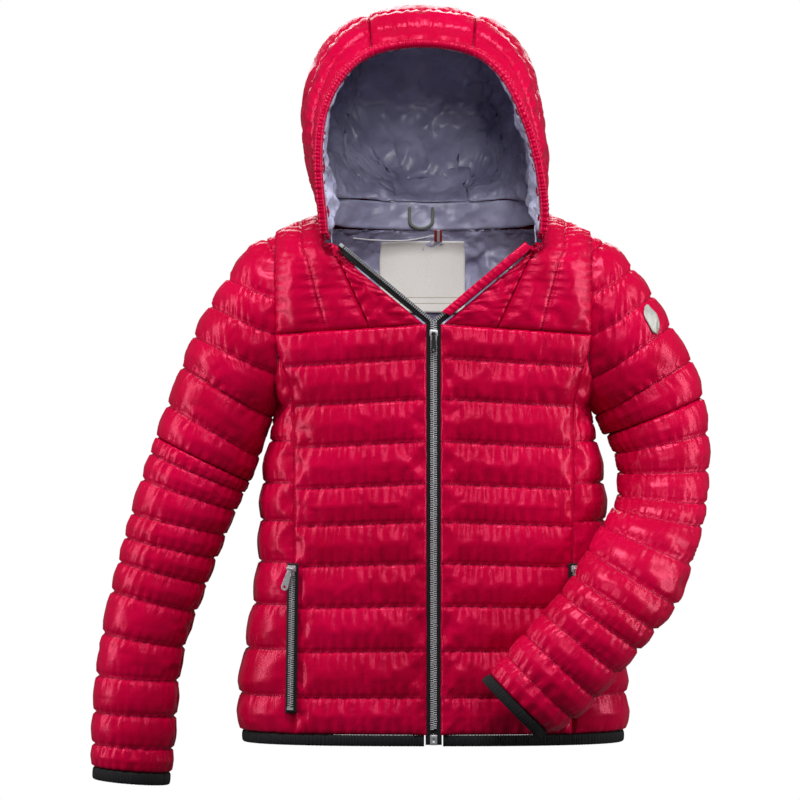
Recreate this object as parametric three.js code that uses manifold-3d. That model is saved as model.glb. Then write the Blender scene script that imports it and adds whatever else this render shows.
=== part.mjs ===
// Quilted ski jacket with an attached hood, as it hangs. Millimetres, +Z up, front towards -Y,
// the wearer's left towards +X, origin at the hanger loop inside the back of the neck.
import * as THREE from "three";
import { mergeVertices } from "three/addons/utils/BufferGeometryUtils.js";
import Module from "manifold-3d";

const wasm = await Module();
wasm.setup();

// Driving sizes
const LENGTH = 636; // hanger loop to the bottom of the hem
const ARM_X = 190; // armhole seam from the front zip
const ARMPIT_Z = -236;
const SHOULDER_TIP_Z = -26;
const FRONT_DEPTH = 98; // middle of the body to the front
const BACK_DEPTH = 92;
const BODY_WALL = 12; // padded shell
const SLEEVE_WALL = 9;
const LINING = 2;
const NECK_X = 133; // half width of the neck hole at the shoulders
const NECK_BACK = 72; // middle of the body to the back of the neck hole
const YOKE_Z = -138; // yoke seam at the zip
const V_TOP = [127, -42]; // top corner of the open front edge, X and Z
const SHOULDER_ROUND = 70;
const LOOP_BACK = 58; // middle of the body to the hanger loop
const HEM_BAND = 13;
const CUFF_LIFT = 0.35;
const SEAM = 0.25; // half of the gap left at a seam
const PANEL_GAP = 1.4; // between the front and side panels, whose rows of facets differ
const LINING_GAP = 3.4; // between the shell and the lining
const TAPE_HALF = 9.6; // front zip, middle to the edge of its tape
const TEETH_HALF = 3.6;
const TEETH_DEEP = 2.6;
const SLIDER_GAP = 0.4;
const POCKET_LENGTH = 177;
const HOOD_LEAN = -13; // the hood tips towards the wearer's right

const HEM_Z = -LENGTH;
const PANEL_Z = HEM_Z + HEM_BAND + 2 * SEAM; // bottom of the quilted panels

const V = (x, y, z) => new THREE.Vector3(x, y, z);
const clamp = THREE.MathUtils.clamp;
const lerp = THREE.MathUtils.lerp;

// Straight-line look-up in a list of [position, value].
function along(list, at) {
  if (at <= list[0][0]) return list[0][1];
  for (let i = 1; i < list.length; i++) {
    const [a, from] = list[i - 1];
    const [b, to] = list[i];
    if (at <= b) return lerp(from, to, (at - a) / (b - a));
  }
  return list[list.length - 1][1];
}

// ---- body surface ----

// Half width beyond the armhole seam: below the armpit by share of the way to the hem.
const BELOW = [
  [0, 0.3],
  [0.1, 7],
  [0.22, 15],
  [0.33, 18],
  [0.44, 19],
  [0.55, 24],
  [0.67, 32],
  [0.82, 43],
  [0.94, 44],
  [1, 41],
];
// Above it by height: wider than the armhole, which cuts the surface off.
const ABOVE = [
  [0, 0.3],
  [16, 8],
  [36, 18],
  [66, 25],
  [260, 25],
];
function halfWidth(z) {
  const below = (ARMPIT_Z - z) / (ARMPIT_Z - HEM_Z);
  return ARM_X + (below > 0 ? along(BELOW, below) : along(ABOVE, z - ARMPIT_Z));
}

// Height of the shoulder line; over the neck hole it goes on rising so that the curve meets the seam.
function shoulderZ(x) {
  const far = Math.abs(x) - NECK_X;
  if (far > 0) return -4 - (far * (-4 - SHOULDER_TIP_Z)) / (ARM_X - NECK_X);
  return -4 + 22 * (1 - (x / NECK_X) ** 2);
}

const FULL = 2.6; // how square the body's cross-section is
function depthShare(x, z) {
  const share = clamp(Math.abs(x) / halfWidth(z), 0, 1);
  const t = clamp((shoulderZ(x) - z) / SHOULDER_ROUND, 0, 1);
  return (1 - share ** FULL) ** (1 / FULL) * Math.sqrt(1 - (1 - t) ** 2);
}
const front = (x, z) => V(x, -SEAM - FRONT_DEPTH * depthShare(x, z), z);
const back = (x, z) => V(x, SEAM + BACK_DEPTH * depthShare(x, z), z);

// Seam between the front and the side panel, distance from the zip.
function princess(z) {
  const top = [
    [0, ARM_X - 26],
    [1, ARM_X - 22],
  ];
  if (z < -230) return along(top, (z - HEM_Z) / (-230 - HEM_Z));
  return along(
    [
      [-230, ARM_X - 22],
      [-200, ARM_X - 14],
      [-170, ARM_X - 3],
      [-150, ARM_X],
    ],
    z,
  );
}
const yokeZ = (x) => YOKE_Z - (12 * Math.abs(x)) / ARM_X;

// Height at which the back surface meets the neck seam or the shoulder line.
function backTop(x) {
  const top = shoulderZ(x);
  if (Math.abs(x) >= NECK_X) return top;
  const reach = NECK_BACK * Math.sqrt(1 - (x / NECK_X) ** 2);
  const share = clamp(Math.abs(x) / halfWidth(-60), 0, 1);
  const k = reach / (BACK_DEPTH * (1 - share ** FULL) ** (1 / FULL));
  return top - SHOULDER_ROUND * (1 - Math.sqrt(1 - Math.min(k, 1) ** 2));
}

// ---- solids ----

const jacket = new THREE.Group();
const placed = new THREE.Group();
placed.position.y = -LOOP_BACK;
jacket.add(placed);

const COLOURS = {
  shell: 0xc8003c,
  lining: 0x9696af,
  black_tape: 0x17171a,
  elastic: 0x1b1b1f,
  metal: 0xb8bcc4,
  loop: 0x6f776c,
  ribbon: 0xc9252f,
  label: 0xe8e4d2,
  string: 0xf0f0ee,
  badge: 0xd6d6d2,
};
function add(name, slot, geometry) {
  const metal = slot === "metal";
  const material = new THREE.MeshStandardMaterial({
    color: COLOURS[slot],
    roughness: metal ? 0.3 : 0.6,
    metalness: metal ? 1 : 0,
  });
  const mesh = new THREE.Mesh(geometry, material);
  mesh.name = name;
  placed.add(mesh);
}

function facingOut(positions, index) {
  let volume = 0;
  const p = positions;
  for (let i = 0; i < index.length; i += 3) {
    const [a, b, c] = [index[i] * 3, index[i + 1] * 3, index[i + 2] * 3];
    volume += p[a] * (p[b + 1] * p[c + 2] - p[b + 2] * p[c + 1]);
    volume += p[a + 1] * (p[b + 2] * p[c] - p[b] * p[c + 2]);
    volume += p[a + 2] * (p[b] * p[c + 1] - p[b + 1] * p[c]);
  }
  if (volume < 0)
    for (let i = 0; i < index.length; i += 3) [index[i], index[i + 1]] = [index[i + 1], index[i]];
  const made = new THREE.BufferGeometry();
  made.setAttribute("position", new THREE.Float32BufferAttribute(p, 3));
  made.setIndex(index);
  made.computeVertexNormals();
  return made;
}

// A sheet of even thickness under the surface at(u, v). core(p) is a point on its inner side, off the
// depth of its outer face, and wrap closes it round in u.
function sheet(at, { nu, nv, thick, core, off = 0, wrap = false, fix = (p) => p }) {
  const E = 1e-3;
  const columns = wrap ? nu : nu + 1;
  const faces = [[], []];
  for (let j = 0; j <= nv; j++)
    for (let i = 0; i < columns; i++) {
      const [u, v] = [i / nu, j / nv];
      const p = at(u, v);
      const [ua, ub] = wrap ? [u - E, u + E] : [Math.max(u - E, 0), Math.min(u + E, 1)];
      const du = at(ub, v).sub(at(ua, v));
      const dv = at(u, Math.min(v + E, 1)).sub(at(u, Math.max(v - E, 0)));
      const n = du.cross(dv).normalize();
      if (n.dot(p.clone().sub(core(p))) < 0) n.negate();
      faces[0].push(fix(p.clone().addScaledVector(n, -off)));
      faces[1].push(fix(p.clone().addScaledVector(n, -off - thick)));
    }
  const positions = [...faces[0], ...faces[1]].flatMap((p) => [p.x, p.y, p.z]);
  const index = [];
  const one = (i, j) => j * columns + (i % columns);
  const two = (i, j) => one(i, j) + columns * (nv + 1);
  const quad = (a, b, c, d) => index.push(a, b, c, a, c, d);
  for (let j = 0; j < nv; j++)
    for (let i = 0; i < nu; i++) {
      quad(one(i, j), one(i + 1, j), one(i + 1, j + 1), one(i, j + 1));
      quad(two(i, j), two(i, j + 1), two(i + 1, j + 1), two(i + 1, j));
    }
  for (let i = 0; i < nu; i++) {
    quad(one(i, 0), two(i, 0), two(i + 1, 0), one(i + 1, 0));
    quad(one(i + 1, nv), two(i + 1, nv), two(i, nv), one(i, nv));
  }
  if (!wrap)
    for (let j = 0; j < nv; j++) {
      quad(one(0, j + 1), two(0, j + 1), two(0, j), one(0, j));
      quad(one(nu, j), two(nu, j), two(nu, j + 1), one(nu, j + 1));
    }
  return facingOut(positions, index);
}

function solid(geometry) {
  const flat = geometry.index ? geometry.toNonIndexed() : geometry;
  const bare = new THREE.BufferGeometry().setAttribute("position", flat.attributes.position);
  const joined = mergeVertices(bare, 1e-4);
  return new wasm.Manifold(
    new wasm.Mesh({
      numProp: 3,
      vertProperties: joined.attributes.position.array,
      triVerts: new Uint32Array(joined.index.array),
    }),
  );
}
function fromSolid(made) {
  const mesh = made.getMesh();
  const geometry = new THREE.BufferGeometry();
  geometry.setAttribute("position", new THREE.BufferAttribute(mesh.vertProperties, 3));
  geometry.setIndex(new THREE.BufferAttribute(mesh.triVerts, 1));
  geometry.computeVertexNormals();
  return geometry;
}
const joined = (...pieces) => fromSolid(pieces.map(solid).reduce((a, b) => a.add(b)));
const box = (w, d, h, x, y, z) => new THREE.BoxGeometry(w, d, h).translate(x, y, z);

// A round cord through the points.
function cord(points, r, steps) {
  const ring = new THREE.Shape();
  ring.absarc(0, 0, r, 0, 2 * Math.PI);
  const extrudePath = new THREE.CatmullRomCurve3(points);
  return new THREE.ExtrudeGeometry(ring, { extrudePath, steps, curveSegments: 4 });
}

const bodyCore = (p) => V(0, 0, Math.min(p.z, -60));
const insideArmholes = (p) => {
  if (p.z > ARMPIT_Z - 9) p.x = clamp(p.x, -ARM_X, ARM_X);
  return p;
};
// The front and the back of the yoke keep to their own side of the shoulder seam.
const onFront = (p) => {
  p.y = Math.min(p.y, -SEAM);
  return insideArmholes(p);
};
const onBack = (p) => {
  p.y = Math.max(p.y, SEAM);
  return insideArmholes(p);
};
const SIDES = [
  ["right", -1],
  ["left", 1],
];

// ---- quilted body shell: front, side and yoke panels on each side, back panel and back yoke ----

// Inner edge of the front yoke, beside the open zip and then up the neck to the shoulder.
function yokeEdge(z) {
  const gap = TAPE_HALF + 2.9;
  return along(
    [
      [YOKE_Z, gap],
      [V_TOP[1], V_TOP[0] + 2],
      [-4, NECK_X],
    ],
    z,
  );
}
const frontPanel = (s) => (u, v) => {
  const side = lerp(yokeZ(ARM_X) - 2 * SEAM, PANEL_Z, v);
  const x = lerp(TAPE_HALF + 0.6, princess(side) - PANEL_GAP, u);
  return front(s * x, lerp(lerp(yokeZ(10) - 4 * SEAM, PANEL_Z, v), side, u));
};
const frontYoke = (s) => (u, v) => {
  const rise = Math.sin((v * Math.PI) / 2);
  const inner = lerp(yokeZ(yokeEdge(YOKE_Z)), -4, rise);
  const outer = lerp(yokeZ(ARM_X), SHOULDER_TIP_Z, rise);
  return front(s * lerp(yokeEdge(inner), ARM_X, u), lerp(inner, outer, u));
};
const sidePanel = (s) => (u, v) => {
  const top = ARMPIT_Z - 2 + 64 * Math.abs(2 * u - 1) ** 1.5;
  const z = lerp(PANEL_Z, top, v);
  const first = Math.asin((Math.min(princess(z) + SEAM, halfWidth(z)) / halfWidth(z)) ** (FULL / 2));
  const a = lerp(first, Math.PI - first, u);
  const x = halfWidth(z) * Math.sin(a) ** (2 / FULL);
  const out = Math.abs(Math.cos(a)) ** (2 / FULL);
  return V(s * x, Math.cos(a) > 0 ? -FRONT_DEPTH * out : BACK_DEPTH * out, z);
};
for (const [side, s] of SIDES) {
  const shell = { thick: BODY_WALL, core: bodyCore };
  add(`front_panel_${side}`, "shell", sheet(frontPanel(s), { ...shell, nu: 5, nv: 8, fix: onFront }));
  add(`front_yoke_${side}`, "shell", sheet(frontYoke(s), { ...shell, nu: 5, nv: 6, fix: onFront }));
  const around = { ...shell, nu: 8, nv: 8, fix: insideArmholes };
  add(`side_panel_${side}`, "shell", sheet(sidePanel(s), around));
}
const backPanel = (u, v) => {
  const z = lerp(-150 - 2 * SEAM, PANEL_Z, v);
  return back(lerp(-1, 1, u) * (princess(z) - SEAM), z);
};
const backYoke = (u, v) => {
  const x = lerp(-ARM_X, ARM_X, u);
  return back(x, lerp(-150, backTop(x), Math.sin((v * Math.PI) / 2)));
};
const backShell = { thick: BODY_WALL, core: bodyCore, fix: onBack };
add("back_panel", "shell", sheet(backPanel, { ...backShell, nu: 10, nv: 6 }));
add("back_yoke", "shell", sheet(backYoke, { ...backShell, nu: 16, nv: 5 }));

// ---- elastic hem binding, open at the zip ----

const hemBand = (u, v) => {
  const z = lerp(HEM_Z, HEM_Z + HEM_BAND, v);
  const open = 0.062;
  const a = lerp(open, 2 * Math.PI - open, u);
  const w = halfWidth(z) - 2;
  const x = w * Math.sign(Math.sin(a)) * Math.abs(Math.sin(a)) ** (2 / FULL);
  const deep = Math.cos(a) > 0 ? FRONT_DEPTH - 1 : BACK_DEPTH - 1;
  const y = -deep * Math.sign(Math.cos(a)) * Math.abs(Math.cos(a)) ** (2 / FULL);
  return V(x, y, z);
};
add("hem_binding", "elastic", sheet(hemBand, { nu: 36, nv: 1, thick: 9, core: bodyCore }));

// ---- smooth lining behind the shell: a back and two fronts, each front reaching the side seam ----

const under = { off: BODY_WALL + LINING_GAP, thick: LINING, core: bodyCore };
const LINING_Z = HEM_Z + HEM_BAND + 3;
const backLining = (u, v) => {
  const z = lerp(-120, LINING_Z, v);
  return back(lerp(-1, 1, u) * (princess(z) - 34), z);
};
add("back_lining", "lining", sheet(backLining, { ...under, nu: 8, nv: 6, fix: onBack }));
const neckLining = (u, v) => {
  const x = lerp(-ARM_X + 34, ARM_X - 34, u);
  return back(x, lerp(-119, backTop(x) - 3, Math.sin((v * Math.PI) / 2)));
};
add("neck_lining", "lining", sheet(neckLining, { ...under, nu: 12, nv: 4, fix: onBack }));
for (const [side, s] of SIDES) {
  const lined = (u, v) => {
    const z = lerp(YOKE_Z - 14, LINING_Z, v);
    return front(s * lerp(16, princess(z) - 16, u), z);
  };
  const close = { ...under, off: BODY_WALL + LINING_GAP - 1, nu: 5, nv: 8 };
  add(`front_lining_${side}`, "lining", sheet(lined, { ...close, fix: onFront }));
}

// ---- front zip: a tape and a row of teeth on each side, closed up to the yoke and open above ----

// Across the tape (u = 0 at the teeth) and up it (v): straight to the yoke seam, then along the V.
const BEND = 0.7;
const tapeAt = (s) => (u, v) => {
  const low = HEM_Z + 2;
  const top = [YOKE_Z + 4, YOKE_Z + 0.4];
  let inner;
  let outer;
  if (v < BEND) {
    inner = [SEAM, lerp(low, top[0], v / BEND)];
    outer = [TAPE_HALF, lerp(low, top[1], v / BEND)];
  } else {
    const t = (v - BEND) / (1 - BEND);
    inner = [lerp(SEAM, V_TOP[0] - 18, t), lerp(top[0], V_TOP[1] - 1, t)];
    outer = [lerp(TAPE_HALF, V_TOP[0] - 11, t), lerp(top[1], V_TOP[1] - 8.5, t)];
  }
  const x = lerp(inner[0], outer[0], u);
  const z = lerp(inner[1], outer[1], u);
  return front(s * x, z);
};
const TAPE_IN = 1.5; // the tape lies this far under the shell's surface
const TAPE_THICK = 1.4;
const TEETH_IN = TAPE_IN - SEAM - TEETH_DEEP;
for (const [side, s] of SIDES) {
  const flat = (from, to, low, high) => (u, v) => tapeAt(s)(lerp(from, to, u), clamp(v, low, high));
  const row = { nv: 10, core: bodyCore };
  const tape = { ...row, nu: 1, off: TAPE_IN, thick: TAPE_THICK };
  add(`zip_tape_${side}`, "black_tape", sheet(flat(0, 1, 0, 1), tape));
  const teeth = { ...row, nu: 1, off: TEETH_IN, thick: TEETH_DEEP };
  const wide = TEETH_HALF / TAPE_HALF;
  add(`zip_teeth_${side}`, "metal", sheet(flat(0, wide, 0.026, 0.985), teeth));
  const stop = { nu: 1, nv: 1, core: bodyCore, off: TEETH_IN - 0.4, thick: TEETH_DEEP + 0.4 };
  const end = (u, v) => tapeAt(s)(u * wide, lerp(0.988, 0.999, v));
  add(`zip_top_stop_${side}`, "metal", sheet(end, stop));
}
// Gathered facing that stands over the open teeth on the wearer's left.
const facing = (u, v) => tapeAt(1)(lerp(-0.25, 0.98, u), lerp(BEND + 0.03, 1, v));
const facingSize = { nu: 2, nv: 6, off: TEETH_IN - 4.4, thick: 3.2, core: bodyCore };
add("zip_facing", "shell", sheet(facing, facingSize));
const ZIP_Y = -FRONT_DEPTH - SEAM + TAPE_IN; // outer face of the tape at the closed zip
add("zip_retainer_box", "metal", box(8.4, 4, 12, 0, ZIP_Y - SEAM - 2.1, HEM_Z + 8));

// ---- zip sliders and pulls; the tape's face is local Y = 0, and they stand towards -Y ----

function sliderBody() {
  const w = TEETH_HALF + SLIDER_GAP;
  const deep = -(SEAM + TEETH_DEEP + SLIDER_GAP);
  const c = new THREE.Shape();
  const corners = [
    [-w - 1, deep - 2],
    [w + 1, deep - 2],
    [w + 1, -SLIDER_GAP],
    [w, -SLIDER_GAP],
    [w, deep],
    [-w, deep],
    [-w, -SLIDER_GAP],
    [-w - 1, -SLIDER_GAP],
  ];
  c.setFromPoints(corners.map(([x, y]) => new THREE.Vector2(x, y)));
  const body = new THREE.ExtrudeGeometry(c, { depth: 13, bevelEnabled: false }).translate(0, 0, -6.5);
  const lug = (s) => box(1.2, 4.2, 3.4, s * 3.6, deep - 3.9, 2.5);
  const pin = new THREE.CylinderGeometry(0.8, 0.8, 7, 10).rotateZ(Math.PI / 2);
  return joined(body, lug(-1), lug(1), pin.translate(0, deep - 4.6, 2.5));
}
const PULL_AXIS = [-(SEAM + TEETH_DEEP + SLIDER_GAP) - 4.6, 2.5]; // local Y and Z of the pin
function pullTab(length, half) {
  const [y, z] = PULL_AXIS;
  const eye = new THREE.Shape();
  eye.absarc(0, 0, 2, 0, 2 * Math.PI);
  const hole = new THREE.Path();
  hole.absarc(0, 0, 1.15, 0, 2 * Math.PI, true);
  eye.holes.push(hole);
  const barrel = new THREE.ExtrudeGeometry(eye, { depth: 5, bevelEnabled: false, curveSegments: 7 });
  barrel.rotateY(Math.PI / 2).translate(-2.5, y, z);
  const neck = box(4.4, 1.4, 4, 0, y, z - 3.4);
  const tab = box(2 * half, 1.4, length, 0, y, z - 5.2 - length / 2);
  return joined(barrel, neck, tab);
}
const zipFrame = new THREE.Matrix4().makeTranslation(0, ZIP_Y, YOKE_Z - 14);
add("front_zip_slider", "metal", sliderBody().applyMatrix4(zipFrame));
add("front_zip_pull", "metal", pullTab(18, 3.2).applyMatrix4(zipFrame));

// ---- side pockets: a zip laid over the seam between the front and side panels, and a bag ----

const POCKET_TOP_Z = -421;
function pocketFrame(s) {
  const top = front(s * (princess(POCKET_TOP_Z) - 1), POCKET_TOP_Z);
  const low = front(s * (princess(POCKET_TOP_Z - POCKET_LENGTH) + 3), POCKET_TOP_Z - POCKET_LENGTH);
  const up = top.clone().sub(low).normalize();
  const [x, z] = [princess(-500), POCKET_TOP_Z - POCKET_LENGTH / 2];
  const across = front(s * (x + 4), z).sub(front(s * (x - 4), z)).multiplyScalar(s);
  const inward = up.clone().cross(across).normalize();
  const right = inward.clone().cross(up).normalize();
  const middle = top.clone().add(low).multiplyScalar(0.5);
  return new THREE.Matrix4().makeBasis(right, inward, up).setPosition(middle.addScaledVector(inward, -3.2));
}
for (const [side, s] of SIDES) {
  const frame = pocketFrame(s);
  const put = (g) => g.applyMatrix4(frame);
  const half = POCKET_LENGTH / 2;
  const name = (piece) => `pocket_${piece}_${side}`;
  add(name("tape"), "black_tape", put(box(14, 1.4, POCKET_LENGTH, 0, 0.7, 0)));
  const teeth = box(2 * TEETH_HALF, TEETH_DEEP, POCKET_LENGTH - 16, 0, -SEAM - TEETH_DEEP / 2, 0);
  add(name("teeth"), "metal", put(teeth));
  add(name("stop"), "metal", put(box(7.6, 3, 3, 0, -SEAM - 1.5, -half + 5.5)));
  const start = new THREE.Matrix4().makeTranslation(0, 0, half - 9);
  add(name("slider"), "metal", put(sliderBody().applyMatrix4(start)));
  add(name("pull"), "metal", put(pullTab(20, 3.6).applyMatrix4(start)));
  const bag = (u, v) => front(s * lerp(62, ARM_X - 32, u), lerp(-430, -600, v));
  const bagSize = { nu: 3, nv: 2, off: BODY_WALL + LINING_GAP + LINING - 0.1, thick: 2, core: bodyCore };
  add(name("bag"), "lining", sheet(bag, bagSize));
}

// ---- neck trims: hanger loop, ribbon, label, and the string of a hang tag ----

const inside = (x, z, depth) => {
  const p = back(x, z);
  p.y = BACK_DEPTH * depthShare(x, z) - depth;
  return p;
};
const LOOP_DEEP = LOOP_BACK;
const loopPoints = [
  V(-28, LOOP_DEEP + 1.6, 6),
  V(-28, LOOP_DEEP - 0.5, -10),
  V(-24, LOOP_DEEP - 1, -17),
  V(-14, LOOP_DEEP - 1, -20),
  V(-4, LOOP_DEEP - 1, -17),
  V(0, LOOP_DEEP - 0.5, -10),
  V(0, LOOP_DEEP + 1.6, 6),
];
add("hanger_loop", "loop", cord(loopPoints, 2, 20));
const trim = (x0, x1, z0, z1) => (u, v) => back(lerp(x0, x1, u), lerp(z0, z1, v));
const skin = { nu: 4, nv: 3, core: bodyCore };
const LABEL_OFF = BODY_WALL + LINING_GAP + LINING + 1.2;
add("neck_label", "label", sheet(trim(-66, 40, -24, -122), { ...skin, off: LABEL_OFF, thick: 1.2 }));
const ribbonSize = { ...skin, nu: 1, off: LABEL_OFF, thick: 1 };
add("size_ribbon", "ribbon", sheet(trim(5, 15, -10, -23), ribbonSize));
const stringPoints = [
  inside(10, -26.6, LABEL_OFF + 6.8),
  inside(-30, -34, LABEL_OFF + 7),
  inside(-70, -34, LABEL_OFF + 9),
  inside(-96, -32, LABEL_OFF + 13),
];
add("tag_string", "string", cord(stringPoints, 0.8, 14));

// ---- hood: two sides, a centre strip from forehead to nape, a gathered edge and a lining ----

// Each side is a fan of arcs. Every row below holds one arc's point at six stations from front to nape.
const neckFront = (z) => front(yokeEdge(z), z);
const neckBack = (x) => back(x, backTop(x));
const F = FRONT_DEPTH;
const N = NECK_X;
const HOOD = {
  neck: [
    neckFront(V_TOP[1]),
    neckFront(-20),
    V(N, 0, -4),
    neckBack(N - 17),
    neckBack(N - 47),
    neckBack(N - 86),
  ],
  low: [
    V(N + 5, 3 - F, 40),
    V(N + 17, -52, 62),
    V(N + 22, 5, 78),
    V(N + 17, 62, 70),
    V(N - 15, 104, 50),
    V(N - 79, 82, 3),
  ],
  high: [
    V(N - 5, 3 - F, 150),
    V(N + 15, -50, 190),
    V(N + 22, 30, 212),
    V(N + 19, 105, 190),
    V(N - 8, 160, 125),
    V(N - 83, 94, 15),
  ],
  seam: [
    V(60, -66, 182),
    V(64, -18, 224),
    V(67, 35, 232),
    V(66, 95, 208),
    V(60, 146, 130),
    V(45, 104, 28),
  ],
  middle: [
    V(0, -66, 191),
    V(0, -20, 233),
    V(0, 35, 242),
    V(0, 98, 220),
    V(0, 152, 134),
    V(0, 112, 30),
    V(0, NECK_BACK + 1, -8),
  ],
};
const curve = (points) => new THREE.CatmullRomCurve3(points, false, "catmullrom", 0.5);
const rows = {
  neck: curve(HOOD.neck),
  low: curve(HOOD.low),
  high: curve(HOOD.high),
  seam: curve(HOOD.seam),
  edge: curve([...HOOD.seam, HOOD.neck[5]]),
  middle: curve(HOOD.middle),
};
const HOOD_GAP = 3.2;
function lean(p) {
  p.x += HOOD_LEAN * clamp((p.z + 10) / 120, 0, 1);
  p.z += HOOD_GAP;
  return p;
}
// A point of one side: p from the front edge to the nape, q from the neck to the centre strip.
const hoodSide = (s, p, q) => {
  const r = 1 - q;
  const at = V(0, 0, 0);
  at.addScaledVector(rows.neck.getPoint(p), r * r * r);
  at.addScaledVector(rows.low.getPoint(p), 3 * r * r * q);
  at.addScaledVector(rows.high.getPoint(p), 3 * r * q * q);
  at.addScaledVector(rows.seam.getPoint(p), q * q * q);
  at.x *= s;
  return lean(at);
};
const hoodMiddle = (c, t) => {
  const side = rows.edge.getPoint(t);
  const top = rows.middle.getPoint(t);
  return lean(V(c * (side.x - 3.4), lerp(top.y, side.y, c * c), lerp(top.z, side.z, c * c)));
};
const hoodCore = (p) => V(HOOD_LEAN, 25, clamp(p.z, 40, 110));
const hoodWall = { thick: BODY_WALL, core: hoodCore };
for (const [side, s] of SIDES) {
  const panel = (u, v) => hoodSide(s, v, u * 0.985);
  add(`hood_${side}`, "shell", sheet(panel, { ...hoodWall, nu: 6, nv: 9 }));
}
const strip = (u, v) => hoodMiddle(lerp(-1, 1, u), v);
add("hood_centre", "shell", sheet(strip, { ...hoodWall, nu: 4, nv: 12 }));
const hoodLined = (u, v) => {
  const p = lerp(0.02, 0.93, v);
  if (u < 0.4) return hoodSide(-1, p, lerp(0.03, 1, u / 0.4));
  if (u > 0.6) return hoodSide(1, p, lerp(0.03, 1, (1 - u) / 0.4));
  return hoodMiddle(lerp(-1, 1, (u - 0.4) / 0.2), (p * 5) / 6);
};
const hoodLining = { nu: 15, nv: 9, off: BODY_WALL + LINING_GAP + 1, thick: LINING, core: hoodCore };
add("hood_lining", "lining", sheet(hoodLined, hoodLining));
const edgePoints = [];
const CASING = 5.5;
for (let i = 0; i <= 8; i++) edgePoints.push(hoodSide(-1, 0, 0.03 + i * 0.12));
for (let i = 8; i >= 0; i--) edgePoints.push(hoodSide(1, 0, 0.03 + i * 0.12));
edgePoints.forEach((p) => p.add(V(0, -CASING - 1.7, 0)));
add("hood_edge", "shell", cord(edgePoints, CASING, 44));

// ---- sleeves: an upper part and a forearm, each a front and a back, and an elastic cuff ----

// Rings along a sleeve: outer and inner point as distance beyond the armhole seam and height, then the
// middle's distance in front of the body's middle, and half the depth.
const RELAXED = [
  [0.3, -26, 0.3, -236, 0, 58],
  [30, -44, 3.2, -242, 0, 62],
  [60, -85, 7.5, -254, 0, 63],
  [93, -140, 12.5, -273, 0, 61],
  [118, -203, 19, -298, 0, 58],
  [140, -262, 26, -322, 0, 56],
  [155, -305, 40, -350, 0, 54],
  [174, -366, 58, -393, 0, 52],
  [189, -424, 81, -452, 0, 50],
  [204, -488, 102, -510, 0, 48],
  [214, -548, 112, -556, 0, 47],
  [219, -610, 117, -616, 0, 46],
  [221, -668, 122, -676, 0, 44],
];
const BENT = [
  [0.3, -26, 0.3, -236, 0, 58],
  [32, -48, 4.5, -240, 0, 62],
  [70, -95, 9, -250, 0, 63],
  [100, -145, 13, -262, 0, 61],
  [125, -190, 18, -275, 0, 58],
  [139, -250, 25, -292, 8, 55],
  [140, -312, 29, -314, 20, 53],
  [135, -360, 26, -345, 44, 51],
  [121, -405, 14, -366, 74, 50],
  [100, -462, -7, -396, 104, 49],
  [62, -508, -34, -440, FRONT_DEPTH + 32, 48],
  [15, -560, -73, -485, FRONT_DEPTH + 46, 46],
  [-20, -596, -102, -517, FRONT_DEPTH + 50, 44],
  [-56, -618, -128, -545, FRONT_DEPTH + 50, 42],
];
const WEDGE = Math.PI * (26 / 180); // each side of the bend leaves this much room at the front
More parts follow.
